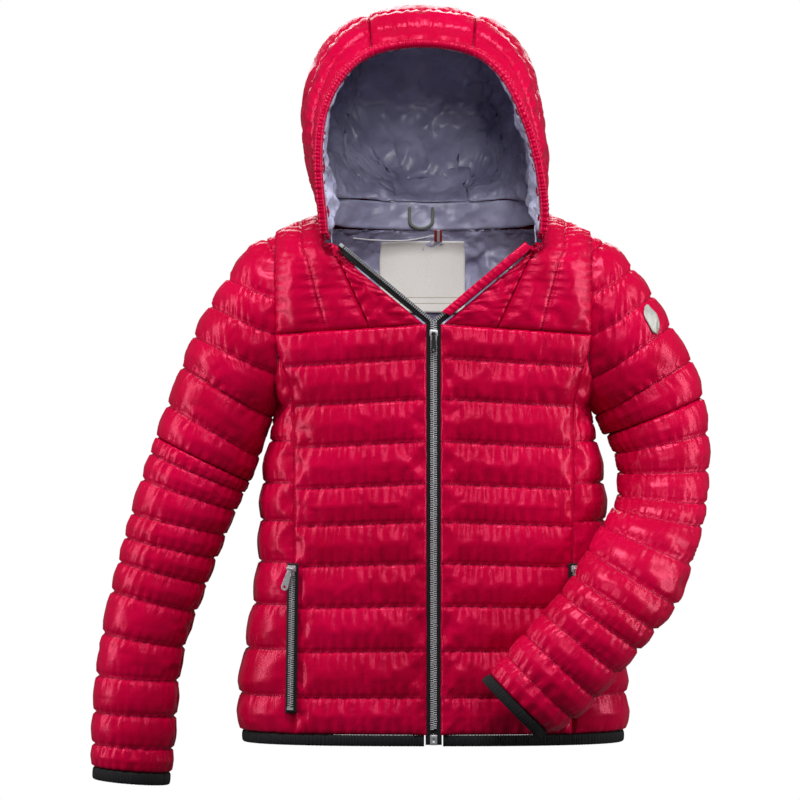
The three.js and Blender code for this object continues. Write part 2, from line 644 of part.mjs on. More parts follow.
function sleeve(side, s, rings, elbow, cuffDrop) {
  const outer = curve(rings.map(([x, z, , , y]) => V(s * (ARM_X + x), -y, z)));
  const inner = curve(rings.map(([, , x, z, y]) => V(s * (ARM_X + x), -y, z)));
  const deep = curve(rings.map((r) => V(r[5], 0, 0)));
  const last = rings.length - 1;
  // r counts rings from the armhole, a goes round from the outer side by way of the back
  const at = (r, a) => {
    const [o, i] = [outer.getPoint(r / last), inner.getPoint(r / last)];
    const middle = o.clone().add(i).multiplyScalar(0.5);
    const half = o.clone().sub(i).multiplyScalar(0.5);
    const reach = deep.getPoint(r / last).x;
    return middle.addScaledVector(half, Math.cos(a)).add(V(0, reach * Math.sin(a), 0));
  };
  const core = (p) => {
    const best = { r: 0, far: Infinity };
    for (let k = 0; k <= 4 * last; k++) {
      const mid = at(k / 4, 0).add(at(k / 4, Math.PI)).multiplyScalar(0.5);
      const far = mid.distanceTo(p);
      if (far < best.far) Object.assign(best, { mid, far });
    }
    return best.mid;
  };
  const hinge = at(elbow, 0).add(at(elbow, Math.PI)).multiplyScalar(0.5);
  const axis = at(elbow, 0).sub(at(elbow, Math.PI)).normalize();
  const down = axis.clone().cross(V(0, 1, 0)).multiplyScalar(-s).normalize();
  if (down.z > 0) down.negate();
  // Limits the points to one side of a plane through the hinge line; front halves leave a wedge.
  const cut = (p, way, isFront) => {
    const gap = 0.2;
    const [y, d] = [p.y - hinge.y, p.clone().sub(hinge).dot(down)];
    const slope = isFront ? Math.tan(WEDGE) * Math.max(-y, 0) : 0;
    const limit = gap + slope;
    if (way * d < limit) p.addScaledVector(down, way * limit - d);
    return p;
  };
  const keepOut = (p) => {
    if (s * p.x < ARM_X + 0.3) p.x = s * (ARM_X + 0.3);
    return p;
  };
  const half = (from, to, isFront, way) => {
    const [a0, a1] = isFront ? [-Math.PI, 0] : [0, Math.PI];
    const ease = 0.006;
    const patch = (u, v) => at(lerp(from, to, v), lerp(a0 + ease, a1 - ease, u));
    const fix = (p) => {
      const middleY = hingeLineY(p);
      p.y = isFront ? Math.min(p.y, middleY - SEAM) : Math.max(p.y, middleY + SEAM);
      return way < 0 ? keepOut(cut(p, way, isFront)) : cut(p, way, isFront);
    };
    const nv = Math.round((to - from) * 1.5);
    return sheet(patch, { nu: 6, nv, thick: SLEEVE_WALL, core, fix });
  };
  // Height of the sleeve's middle surface nearest to a point, as a Y value.
  function hingeLineY(p) {
    return core(p).y;
  }
  add(`${side}_upper_sleeve_front`, "shell", half(0, elbow, true, -1));
  add(`${side}_upper_sleeve_back`, "shell", half(0, elbow, false, -1));
  add(`${side}_forearm_front`, "shell", half(elbow, last - 0.02, true, 1));
  add(`${side}_forearm_back`, "shell", half(elbow, last - 0.02, false, 1));
  const end = at(last, 0).add(at(last, Math.PI)).multiplyScalar(0.5);
  const before = at(last - 0.3, 0).add(at(last - 0.3, Math.PI)).multiplyScalar(0.5);
  const out = end.clone().sub(before).normalize();
  const cuff = (u, v) => {
    const p = at(last, -2 * Math.PI * u).sub(end).multiplyScalar(lerp(0.97, 0.94, v)).add(end);
    return p.addScaledVector(out, lerp(CUFF_LIFT, cuffDrop, v));
  };
  const cuffCore = (p) => end.clone().addScaledVector(out, p.clone().sub(end).dot(out));
  const cuffSize = { nu: 18, nv: 1, thick: SLEEVE_WALL - 2, core: cuffCore, wrap: true };
  add(`${side}_cuff`, "elastic", sheet(cuff, cuffSize));
  return { at, core };
}
sleeve("right", -1, RELAXED, 7, 14);
const bent = sleeve("left", 1, BENT, 6, 12);

// Crest on the front of the left upper sleeve.
const crest = (u, v) => bent.at(lerp(2.3, 3, v), lerp(-0.98, -0.66, u));
add("sleeve_badge", "badge", sheet(crest, { nu: 2, nv: 2, off: -1.2, thick: 1.2, core: bent.core }));

export default jacket;
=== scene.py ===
import math

import bmesh
import bpy
import numpy as np
from mathutils import Matrix, Vector


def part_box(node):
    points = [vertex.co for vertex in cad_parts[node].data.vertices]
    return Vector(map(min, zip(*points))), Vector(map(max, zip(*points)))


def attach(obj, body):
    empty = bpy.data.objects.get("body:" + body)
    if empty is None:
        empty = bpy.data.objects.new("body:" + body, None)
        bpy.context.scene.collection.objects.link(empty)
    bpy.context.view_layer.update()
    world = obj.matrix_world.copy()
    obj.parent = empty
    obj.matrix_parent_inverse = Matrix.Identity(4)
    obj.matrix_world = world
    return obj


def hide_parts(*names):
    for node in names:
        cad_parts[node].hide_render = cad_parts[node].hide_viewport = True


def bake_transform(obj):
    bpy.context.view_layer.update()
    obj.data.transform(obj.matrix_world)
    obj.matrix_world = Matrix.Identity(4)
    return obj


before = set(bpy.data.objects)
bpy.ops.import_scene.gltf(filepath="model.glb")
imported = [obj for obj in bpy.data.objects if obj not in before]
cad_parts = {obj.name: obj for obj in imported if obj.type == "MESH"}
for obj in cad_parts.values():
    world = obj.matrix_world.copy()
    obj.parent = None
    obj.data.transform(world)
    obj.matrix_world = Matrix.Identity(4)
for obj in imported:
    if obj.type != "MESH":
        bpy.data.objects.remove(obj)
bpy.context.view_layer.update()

# ---- camera, lights and floor ----
# A long lens at chest height sees the jacket almost without perspective. Soft boxes hang above, in front
# and behind, a tall strip stands on each side, and the floor far below has a light that reaches only it.
MIDDLE_Y = (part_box("right_cuff")[0].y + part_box("right_cuff")[1].y) / 2
VIEW_WIDTH = 0.960
DISTANCE = 5.0
camera_data = bpy.data.cameras.new("long_lens")
camera_data.sensor_width = 36
camera_data.lens = 36 * DISTANCE / VIEW_WIDTH
camera_data.clip_end = 50
camera = bpy.data.objects.new("camera", camera_data)
camera.location = (-0.0396, MIDDLE_Y - DISTANCE, -0.228)
camera.rotation_euler = (math.pi / 2, 0, 0)
bpy.context.scene.collection.objects.link(camera)
bpy.context.scene.camera = camera


def linear(colour):
    """An sRGB hex colour as linear RGBA."""
    parts = [int(colour[i : i + 2], 16) / 255 for i in (1, 3, 5)]
    return [c / 12.92 if c < 0.04045 else ((c + 0.055) / 1.055) ** 2.4 for c in parts] + [1]


def node(tree, kind, settings=None, **links):
    """Adds a node. settings are its properties, and links are values or sockets for its inputs."""
    made = tree.nodes.new(kind)
    for key, value in (settings or {}).items():
        setattr(made, key, value)
    for key, value in links.items():
        name = key.replace("_", " ")
        plug = made.inputs[int(key[1:])] if key[0] == "i" and key[1:].isdigit() else made.inputs[name]
        if isinstance(value, bpy.types.NodeSocket):
            tree.links.new(value, plug)
        else:
            plug.default_value = value
    return made


def light(name, place, size, power, colour="#ffffff", target=(0, -0.06, -0.25)):
    data = bpy.data.lights.new(name, "AREA")
    data.shape = "RECTANGLE"
    data.size, data.size_y = size
    data.energy = power
    data.color = linear(colour)[:3]
    made = bpy.data.objects.new(name, data)
    made.location = place
    made.rotation_euler = (Vector(target) - Vector(place)).to_track_quat("-Z", "Y").to_euler()
    bpy.context.scene.collection.objects.link(made)
    return made


light("top_box", (0, -1.4, 2.1), (1.2, 0.7), 58)
light("front_fill", (0.35, -3.2, 1.2), (1.1, 1.1), 27)
light("right_strip", (-1.7, -0.5, 0.2), (0.4, 1.8), 18)
light("left_strip", (1.7, -0.5, 0.2), (0.4, 1.8), 20)
light("back_box", (0, 2.4, 1.2), (2.0, 1.4), 34)
floor_wash = light("floor_wash", (0, 0.01, 4), (14, 14), 1600, target=(0, 0, 0))

world = bpy.data.worlds.new("studio_white")
bpy.context.scene.world = world
world.use_nodes = True
sky = world.node_tree
sky.nodes.clear()
seen = node(sky, "ShaderNodeBackground", Color=linear("#ffffff"), Strength=1.0)
lit = node(sky, "ShaderNodeBackground", Color=linear("#f2f4f8"), Strength=0.1)
rays = node(sky, "ShaderNodeLightPath")
either = node(
    sky,
    "ShaderNodeMixShader",
    Fac=rays.outputs["Is Camera Ray"],
    i1=lit.outputs[0],
    i2=seen.outputs[0],
)
node(sky, "ShaderNodeOutputWorld", Surface=either.outputs[0])
bpy.context.scene.view_settings.view_transform = "Standard"


def material(name):
    """A new material with its shader, ready for its nodes. Returns it, its tree and the shader."""
    made = bpy.data.materials.new(name)
    made.use_nodes = True
    return made, made.node_tree, made.node_tree.nodes["Principled BSDF"]


bpy.ops.object.select_all(action="DESELECT")
bpy.ops.mesh.primitive_plane_add(size=10.4, location=(0, 0, -1.25))
floor = bpy.context.object
floor.name = "studio_floor"
floor.visible_diffuse = False  # the white floor is lit by a light of its own and throws none back
floor.visible_glossy = False
lit_floor = bpy.data.collections.new("lit_floor")
lit_floor.objects.link(floor)
floor_wash.light_linking.receiver_collection = lit_floor
floor_paint, tree, shader = material("matt_white_floor_paint")
speckle = node(tree, "ShaderNodeTexNoise", Scale=400)
bump = node(tree, "ShaderNodeBump", Height=speckle.outputs[0], Strength=0.05, Distance=0.001)
tree.links.new(bump.outputs[0], shader.inputs["Normal"])
shader.inputs["Base Color"].default_value = linear("#eeeeee")
shader.inputs["Roughness"].default_value = 0.8
floor.data.materials.append(floor_paint)

# ---- body shell: front, side and back panels and the yokes ----
# Crimson down-proof nylon over down, sewn through in channels about 5 cm wide. Each channel is cut
# fuller than its backing, so it puffs out between the seams and gathers into puckers along them.
MM = 0.001
HEM_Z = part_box("hem_binding")[0].z / MM
PANEL_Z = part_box("back_panel")[0].z / MM
ARM_X = 190
ARMPIT_Z = -236
SHOULDER_TIP_Z = -26
FRONT_DEPTH = 98
BACK_DEPTH = 92
NECK_X = 133
NECK_BACK = 72
YOKE_Z = -138
V_TOP = (127, -42)
SHOULDER_ROUND = 70
FULL = 2.6  # how square the body's cross-section is
BELOW = [(0, 0.3), (0.1, 7), (0.22, 15), (0.33, 18), (0.44, 19), (0.55, 24), (0.67, 32), (0.82, 43)]
BELOW += [(0.94, 44), (1, 41)]
ABOVE = [(0, 0.3), (16, 8), (36, 18), (66, 25), (260, 25)]


def table_at(pairs, at):
    return np.interp(at, [p[0] for p in pairs], [p[1] for p in pairs])


def lerp(a, b, t):
    return a + (b - a) * t


def half_width(z):
    below = (ARMPIT_Z - z) / (ARMPIT_Z - HEM_Z)
    return ARM_X + np.where(below > 0, table_at(BELOW, below), table_at(ABOVE, z - ARMPIT_Z))


def shoulder_z(x):
    far = np.abs(x) - NECK_X
    slope = -4 - far * (-4 - SHOULDER_TIP_Z) / (ARM_X - NECK_X)
    return np.where(far > 0, slope, -4 + 22 * (1 - (x / NECK_X) ** 2))


def depth_share(x, z):
    share = np.clip(np.abs(x) / half_width(z), 0, 1)
    t = np.clip((shoulder_z(x) - z) / SHOULDER_ROUND, 0, 1)
    return (1 - share**FULL) ** (1 / FULL) * np.sqrt(1 - (1 - t) ** 2)


def points(x, y, z):
    return np.stack(np.broadcast_arrays(np.asarray(x, float), y, z), -1)


def front(x, z):
    return points(x, -FRONT_DEPTH * depth_share(x, z), z)


def back(x, z):
    return points(x, BACK_DEPTH * depth_share(x, z), z)


def princess(z):
    """Seam between the front and the side panel, distance from the zip."""
    low = np.interp(z, [HEM_Z, -230], [ARM_X - 26, ARM_X - 22])
    top = np.interp(z, [-230, -200, -170, -150], [ARM_X - 22, ARM_X - 14, ARM_X - 3, ARM_X])
    return np.where(z < -230, low, top)


def yoke_z(x):
    return YOKE_Z - 12 * np.abs(x) / ARM_X


def back_top(x):
    top = shoulder_z(x)
    reach = NECK_BACK * np.sqrt(np.clip(1 - (x / NECK_X) ** 2, 0, 1))
    share = np.clip(np.abs(x) / half_width(-60), 0, 1)
    k = reach / (BACK_DEPTH * (1 - share**FULL) ** (1 / FULL))
    neck = top - SHOULDER_ROUND * (1 - np.sqrt(np.clip(1 - np.minimum(k, 1) ** 2, 0, 1)))
    return np.where(np.abs(x) >= NECK_X, top, neck)


def body_core(p):
    return points(0 * p[..., 0], 0, np.minimum(p[..., 2], -60))


def mesh_object(name, at, faces, uv=None):
    """A mesh from points in millimetres about the middle of the body."""
    mesh = bpy.data.meshes.new(name)
    mesh.from_pydata((at.reshape(-1, 3) * MM + (0, MIDDLE_Y, 0)).tolist(), [], faces.tolist())
    if uv is not None:
        layer = mesh.uv_layers.new(name="seams")
        order = np.zeros(len(mesh.loops), int)
        mesh.loops.foreach_get("vertex_index", order)
        layer.data.foreach_set("uv", uv.reshape(-1, 2)[order].ravel().astype(np.float32))
    mesh.shade_smooth()
    made = bpy.data.objects.new(name, mesh)
    bpy.context.scene.collection.objects.link(made)
    return made


def grid_faces(rows, columns, wrap=False, flip=False):
    i, j = np.meshgrid(np.arange(columns if wrap else columns - 1), np.arange(rows - 1))
    a = j * columns + i
    b = j * columns + (i + 1) % columns
    faces = np.stack([a, b, b + columns, a + columns], -1).reshape(-1, 4)
    return faces[:, ::-1] if flip else faces


def stations(knots, length):
    """Even steps of about one cell between the knots, and which of them are knots."""
    values, held = [knots[0]], [True]
    for a, b in zip(knots[:-1], knots[1:]):
        n = max(3, round((b - a) * length / CELL))
        values += list(a + (b - a) * np.arange(1, n + 1) / n)
        held += [False] * (n - 1) + [True]
    return np.array(values), np.array(held)


def outward(p, core, wrap=False):
    """Unit normals of a grid of points, away from its core, and whether its faces must turn over."""
    du = np.roll(p, -1, 1) - np.roll(p, 1, 1) if wrap else np.gradient(p, axis=1)
    n = np.cross(du, np.gradient(p, axis=0))
    n = n / np.maximum(np.linalg.norm(n, axis=-1, keepdims=True), 1e-9)
    flip = np.sum(n * (p - core(p)), -1).mean() < 0
    return (-n if flip else n), flip


def distances(p, axis):
    step = np.linalg.norm(np.diff(p, axis=axis), axis=-1)
    return np.concatenate([np.zeros_like(np.take(step, [0], axis)), np.cumsum(step, axis)], axis)


CELL = 3.3  # mesh size of the cloth
INSET = 3.6  # the seams lie this far inside the shell's outline, and the channels puff out past them
STITCH_SINK = 1.3
EDGE_REACH = 26  # how far in from an edge its own inset fades into the panel's
PUFF, PUFF_REACH = 3.6, 22  # starting height of a channel, and how far from a seam it is full
RIPPLE, RIPPLE_REACH = 1.6, 11  # height of the puckers at a seam, and how fast they die away
PUCKER = 12.0  # usual distance between two puckers along a seam
SEWN = []


def quilted(name, at, across, up, size, core, wrap=False, stitch="v", edges=(), inset=INSET):
    """A panel over at(u, v), sewn down along the given u (across) and v (up) lines. edges gives the
    inset at one of its four edges where it meets a tape or a casing instead of another panel."""
    u, u_held = stations(across, size[0])
    v, v_held = stations(up, size[1])
    if wrap:
        u, u_held = u[:-1], u_held[:-1]
    uu, vv = np.meshgrid(u, v)
    p = at(uu, vv)
    n, flip = outward(p, core, wrap)
    rows, columns = uu.shape
    random = np.random.default_rng(sum(map(ord, name)))
    held = v_held[:, None] | u_held[None, :]
    far_u, far_v = distances(p, 1), distances(p, 0)
    near_v = np.abs(far_v[:, None, :] - far_v[v_held][None, :, :]).min(1)
    near_u = np.abs(far_u[:, :, None] - far_u[:, u_held][:, None, :]).min(2)
    deep = np.full((rows, columns), float(inset)) + STITCH_SINK * held
    for edge, value in edges:
        far = far_u if edge[0] == "u" else far_v
        if edge[1] == "1":
            far = (far[:, -1:] if edge[0] == "u" else far[-1:]) - far
        t = np.clip(far / EDGE_REACH, 0, 1)
        deep = lerp(value, deep, t * t * (3 - 2 * t))
    near = np.minimum(near_v, near_u)
    puff = np.sqrt(np.clip(near / PUFF_REACH, 0, 1)) * PUFF
    seam, seam_at = (near_v, far_u) if stitch == "v" else (near_u, far_v)
    drift = np.cumsum(random.uniform(0.55, 1.45, (rows // 8 + 2, 400)), 1)
    lane = np.clip(np.cumsum(v_held)[:, None] + 0 * far_u, 0, len(drift) - 1).astype(int)
    step = np.clip(seam_at / PUCKER, 0, 398)
    before = np.take_along_axis(drift[lane[:, 0]], step.astype(int), 1)
    after = np.take_along_axis(drift[lane[:, 0]], step.astype(int) + 1, 1)
    phase = lerp(before, after, step % 1)
    ripple = RIPPLE * np.sin(2 * np.pi * phase) * np.exp(-seam / RIPPLE_REACH)
    edge_of_panel = np.zeros((rows, columns), bool)
    edge_of_panel[[0, -1]] = True
    if not wrap:
        edge_of_panel[:, [0, -1]] = True
    gather = random.normal(0, 0.4, (rows, columns)) * (held & ~edge_of_panel)
    p = p + n * (-deep + (puff + ripple) * ~held + gather)[..., None]
    made = mesh_object(name, p, grid_faces(rows, columns, wrap, flip), np.stack([seam_at, seam], -1) * MM)
    thin = distances(p, 1)
    thin = np.concatenate([np.diff(thin, axis=1), np.diff(thin, axis=1)[:, -1:]], 1) < 0.7
    group = made.vertex_groups.new(name="sewn")
    group.add(np.flatnonzero((held | thin).ravel()).tolist(), 1.0, "REPLACE")
    SEWN.append((made, 4.0, 0.026))
    return made


CHANNELS = [-178, -226, -276, -326, -371, -420, -470, -523, -578]
FRONT_LEVELS = [0] + [(z - YOKE_Z) / (PANEL_Z - YOKE_Z) for z in CHANNELS] + [1]
BACK_LEVELS = [0] + [(z + 150) / (PANEL_Z + 150) for z in CHANNELS] + [1]
SIDE_Z = [PANEL_Z] + CHANNELS[:1:-1]
SIDE_LEVELS = [0.86 * i / (len(SIDE_Z) - 1) for i in range(len(SIDE_Z))]


def front_panel(s):
    def at(u, v):
        side = lerp(yoke_z(ARM_X), PANEL_Z, v)
        x = lerp(8.4, princess(side), u)
        return front(s * x, lerp(lerp(yoke_z(10), PANEL_Z, v), side, u))

    return at


def side_panel(s):
    def at(u, v):
        top = ARMPIT_Z - 3 + 62 * np.abs(2 * u - 1) ** 1.5
        low = np.interp(v, SIDE_LEVELS, SIDE_Z)
        z = np.where(v <= 0.86, low, lerp(SIDE_Z[-1], top, (v - 0.86) / 0.14))
        wide = half_width(z)
        first = np.arcsin((np.minimum(princess(z), wide) / wide) ** (FULL / 2))
        a = lerp(first, math.pi - first, u)
        out = np.abs(np.cos(a)) ** (2 / FULL)
        y = np.where(np.cos(a) > 0, -FRONT_DEPTH * out, BACK_DEPTH * out)
        return points(s * wide * np.sin(a) ** (2 / FULL), y, z)

    return at


def yoke_edge(z):
    return table_at([(YOKE_Z, 12.5), (V_TOP[1], V_TOP[0] + 2), (-4, NECK_X)], z)


DIAGONAL = [(-143, 76), (-50, 118), (V_TOP[1], V_TOP[0] + 2), (-4, NECK_X)]


def yoke_outer(s):
    """From the diagonal seam to the armhole."""

    def at(u, v):
        rise = np.sin(v * math.pi / 2)
        inner = lerp(-143, -4, rise)
        outer = lerp(yoke_z(ARM_X), SHOULDER_TIP_Z, rise)
        return front(s * lerp(table_at(DIAGONAL, inner), ARM_X, u), lerp(inner, outer, u))

    return at


def yoke_inner(s):
    """The plain triangle between the open zip and the diagonal seam."""

    def at(u, v):
        inner = lerp(yoke_z(12.5), -48, v)
        outer = lerp(-143, -44, v)
        return front(s * lerp(yoke_edge(inner), table_at(DIAGONAL, outer) + 0.5, u), lerp(inner, outer, u))

    return at


def back_panel(u, v):
    z = lerp(-150, PANEL_Z, v)
    return back(lerp(-1, 1, u) * princess(z), z)


def back_yoke(u, v):
    x = lerp(-ARM_X, ARM_X, u)
    return back(x, lerp(-150, back_top(x), np.sin(v * math.pi / 2)))


def arches(*rises):
    """Steps of v at which a panel that follows a quarter sine reaches the given shares of its height."""
    return [math.asin(r) * 2 / math.pi for r in rises]


bodies = {}


def joins(made, body, *nodes):
    bodies[made.name] = body
    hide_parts(*nodes)
    return made


for side, s in (("right", -1), ("left", 1)):
    made = quilted(
        f"front_shell_{side}",
        front_panel(s),
        [0, 1],
        FRONT_LEVELS,
        (160, 485),
        body_core,
        edges=[("u0", 0.6), ("u1", 3)],
    )
    joins(made, "jacket_body", f"front_panel_{side}")
    made = quilted(
        f"side_shell_{side}",
        side_panel(s),
        [0, 1],
        SIDE_LEVELS + [0.93, 1],
        (130, 430),
        body_core,
        edges=[("u0", 3), ("u1", 3), ("v1", 4)],
    )
    joins(made, "jacket_body", f"side_panel_{side}")
    made = quilted(
        f"yoke_shell_{side}",
        yoke_outer(s),
        [0, 0.46, 1],
        [0, 1],
        (100, 170),
        body_core,
        stitch="u",
        edges=[("v1", 1), ("u1", 3)],
    )
    joins(made, "jacket_body", f"front_yoke_{side}")
    made = quilted(
        f"yoke_triangle_{side}",
        yoke_inner(s),
        [0, 1],
        [0, 1],
        (40, 140),
        body_core,
        stitch="u",
        edges=[("u0", 2.6)],
    )
    joins(made, "jacket_body", f"front_yoke_{side}")
made = quilted(
    "back_shell",
    back_panel,
    [0, 1],
    BACK_LEVELS,
    (350, 472),
    body_core,
    edges=[("u0", 3), ("u1", 3)],
)
joins(made, "jacket_body", "back_panel")
made = quilted(
    "back_yoke_shell",
    back_yoke,
    [0, 1],
    arches(0, 0.27, 0.54, 0.8, 1),
    (385, 190),
    body_core,
    edges=[("v1", 1), ("u0", 3), ("u1", 3)],
)
joins(made, "jacket_body", "back_yoke")

# ---- hood: two sides and a centre strip from forehead to nape ----
# The same filled nylon. Each side is a fan of arcs from the front opening round to the nape, and the
# channels run parallel to the opening.


def curve_at(rows, t):
    """A point on the smooth curve through the rows, t from 0 to 1."""
    rows = np.array(rows, float)
    last = len(rows) - 1
    rows = np.concatenate([2 * rows[:1] - rows[1:2], rows, 2 * rows[-1:] - rows[-2:-1]])
    k = np.clip(np.floor(t * last).astype(int), 0, last - 1)
    w = (t * last - k)[..., None]
    a, b, c, d = (rows[k + i] for i in range(4))
    ta, tb = 0.5 * (c - a), 0.5 * (d - b)
    return b + ta * w + (3 * (c - b) - 2 * ta - tb) * w**2 + (2 * (b - c) + ta + tb) * w**3


def neck_back(x):
    return back(np.array(float(x)), back_top(np.array(float(x))))


F, N = FRONT_DEPTH, NECK_X
NECK_ROW = [front(yoke_edge(z), z) for z in (V_TOP[1], -20.0)] + [(N, 0, -4)]
NECK_ROW += [neck_back(N - 17), neck_back(N - 47), neck_back(N - 86)]
LOW_ROW = [(N + 5, 3 - F, 40), (N + 17, -52, 62), (N + 22, 5, 78), (N + 17, 62, 70)]
LOW_ROW += [(N - 15, 104, 50), (N - 79, 82, 3)]
HIGH_ROW = [(N - 5, 3 - F, 150), (N + 15, -50, 190), (N + 22, 30, 212), (N + 19, 105, 190)]
HIGH_ROW += [(N - 8, 160, 125), (N - 83, 94, 15)]
SEAM_ROW = [(60, -66, 182), (64, -18, 224), (67, 35, 232), (66, 95, 208), (60, 146, 130)]
SEAM_ROW += [(45, 104, 28)]
TOP_ROW = [(0, -66, 191), (0, -20, 233), (0, 35, 242), (0, 98, 220), (0, 152, 134)]
TOP_ROW += [(0, 112, 30), (0, NECK_BACK + 1, -8)]
HOOD_LEAN = -13
HOOD_GAP = 3.2


def lean(p):
    p = p.copy()
    p[..., 0] += HOOD_LEAN * np.clip((p[..., 2] + 10) / 120, 0, 1)
    p[..., 2] += HOOD_GAP
    return p


def hood_side(s):
    """u from the neck to the centre strip, v from the front opening to the nape."""

    def at(u, v):
        q, r = u[..., None], 1 - u[..., None]
        p = curve_at(NECK_ROW, v) * r**3 + curve_at(LOW_ROW, v) * 3 * r * r * q
        p = p + curve_at(HIGH_ROW, v) * 3 * r * q * q + curve_at(SEAM_ROW, v) * q**3
        return lean(p * (s, 1, 1))

    return at


def hood_middle(u, v):
    side = curve_at(SEAM_ROW + [NECK_ROW[5]], v)
    top = curve_at(TOP_ROW, v)
    c = 2 * u - 1
    y = lerp(top[..., 1], side[..., 1], c * c)
    return lean(points(c * side[..., 0], y, lerp(top[..., 2], side[..., 2], c * c)))


def hood_core(p):
    return points(HOOD_LEAN + 0 * p[..., 0], 25, np.clip(p[..., 2], 40, 110))


HOOD_LEVELS = [0, 0.11, 0.26, 0.41, 0.56, 0.71, 0.86, 1]
for side, s in (("right", -1), ("left", 1)):
    made = quilted(
        f"hood_shell_{side}",
        hood_side(s),
        [0, 1],
        HOOD_LEVELS,
        (215, 290),
        hood_core,
        edges=[("u1", 3), ("v0", 3.5), ("u0", 1)],
    )
    joins(made, "hood", f"hood_{side}")
made = quilted(
    "hood_centre_shell",
    hood_middle,
    [0, 1],
    [k * 5 / 6 for k in HOOD_LEVELS] + [1],
    (125, 420),
    hood_core,
    edges=[("u0", 3), ("u1", 3), ("v0", 3.5), ("v1", 1)],
)
joins(made, "hood", "hood_centre")

# ---- sleeves: each an upper part and a forearm, quilted round ----
# Filled nylon tubes with one seam under the arm. The right one hangs, and the left one is bent with
# the hand in front of the hip, so that its channels fan out round the elbow.
RELAXED = [(0.3, -26, 0.3, -236, 0, 58), (30, -44, 3.2, -242, 0, 62), (60, -85, 7.5, -254, 0, 63)]
RELAXED += [(93, -140, 12.5, -273, 0, 61), (118, -203, 19, -298, 0, 58)]
RELAXED += [(140, -262, 26, -322, 0, 56), (155, -305, 40, -350, 0, 54)]
RELAXED += [(174, -366, 58, -393, 0, 52), (189, -424, 81, -452, 0, 50)]
RELAXED += [(204, -488, 102, -510, 0, 48), (214, -548, 112, -556, 0, 47)]
RELAXED += [(219, -610, 117, -616, 0, 46), (221, -668, 122, -676, 0, 44)]
BENT = [(0.3, -26, 0.3, -236, 0, 58), (32, -48, 4.5, -240, 0, 62), (70, -95, 9, -250, 0, 63)]
BENT += [(100, -145, 13, -262, 0, 61), (125, -190, 18, -275, 0, 58), (139, -250, 25, -292, 8, 55)]
BENT += [(140, -312, 29, -314, 20, 53), (135, -360, 26, -345, 44, 51)]
BENT += [(121, -405, 14, -366, 74, 50), (100, -462, -7, -396, 104, 49)]
BENT += [(62, -508, -34, -440, F + 32, 48), (15, -560, -73, -485, F + 46, 46)]
BENT += [(-20, -596, -102, -517, F + 50, 44), (-56, -618, -128, -545, F + 50, 42)]
# The seams of each upper part by distance from the zip and height, at the outer side and then at the
# inner side or on the armhole. Below them the seams are rings.
RELAXED_SEAMS = [((193, -27.5), (190.3, -28.5)), ((205, -31), (193, -56)), ((246, -82), (193, -108))]
RELAXED_SEAMS += [((268, -114), (190.3, -152)), ((288, -151), (192, -198)), ((299, -182), (190.3, -236))]
RELAXED_SEAMS += [((301, -188), (211, -241)), ((318, -234), (223, -288)), 5.2]
BENT_SEAMS = [((193, -27.5), (190.3, -28.5)), ((206, -38), (190.3, -56)), ((239, -70), (190.3, -106))]
BENT_SEAMS += [((264, -102), (190.3, -154)), ((284, -140), (190.3, -206)), ((304, -178), (190.3, -236))]
BENT_SEAMS += [((306, -182), (209, -241)), ((320, -226), (214, -268))]
RELAXED_RINGS = [5.2, 5.7, 6.3, 6.95, 7.45, 7.95, 8.5, 9.3, 10.15, 10.85, 11.5]
BENT_RINGS = [((320, -226), (214, -268)), ((329, -268), (220, -291)), 6, 6.8, 7.4, 8.3, 9.15, 9.8]
BENT_RINGS += [10.25, 10.75, 11.4, 12.2]


def sleeve_at(s, rings):
    """r counts rings from the armhole, a goes round from the outer side by way of the back."""
    outer = [(s * (ARM_X + x), -y, z) for x, z, _, _, y, _ in rings]
    inner = [(s * (ARM_X + x), -y, z) for _, _, x, z, y, _ in rings]
    deep = [(ring[5], 0, 0) for ring in rings]
    last = len(rings) - 1

    def at(r, a):
        r = np.asarray(r, float)
        o, i = curve_at(outer, r / last), curve_at(inner, r / last)
        reach = curve_at(deep, r / last)[..., :1]
        turn = np.asarray(a, float)[..., None]
        return (o + i) / 2 + (o - i) / 2 * np.cos(turn) + reach * np.sin(turn) * (0, 1, 0)

    return at


def middle_line(at, last):
    """For each point, the nearest point on the sleeve's middle line."""
    r = np.linspace(0, last, 8 * last + 1)
    line = (at(r, 0 * r) + at(r, 0 * r + math.pi)) / 2

    def core(p):
        flat = p.reshape(-1, 3)
        best = np.argmin(((flat[:, None, :] - line[None]) ** 2).sum(-1), 1)
        return line[best].reshape(p.shape)

    return core


def crossing(f, low, high):
    """Where f changes sign between low and high, by halving."""
    for _ in range(26):
        mid = (low + high) / 2
        same = np.sign(f(mid)) == np.sign(f(low))
        low, high = np.where(same, mid, low), np.where(same, high, mid)
    return (low + high) / 2


def seam_round(at, s, seam, u):
    """Ring number and angle of a seam's points, for u from under the arm right round to it again."""
    if not isinstance(seam, tuple):
        return seam + 0 * u, (2 * u - 1) * math.pi
    (ox, oz), (ix, iz) = seam

    def beside(r, a):
        p = at(r, a)
        return (s * p[..., 0] - ox) * (iz - oz) - (p[..., 2] - oz) * (ix - ox)

    zero, half_turn = np.zeros(1), np.array([math.pi])
    reach = math.pi
    if np.sign(beside(zero, zero)) != np.sign(beside(zero, half_turn)):
        reach = float(crossing(lambda a: beside(0 * a, a), zero, half_turn)[0])
    a = (2 * u - 1) * reach
    r = crossing(lambda r: beside(r, a), 0 * u, 0 * u + 6.6)
    return np.where(r > 6.5, 0, r), a


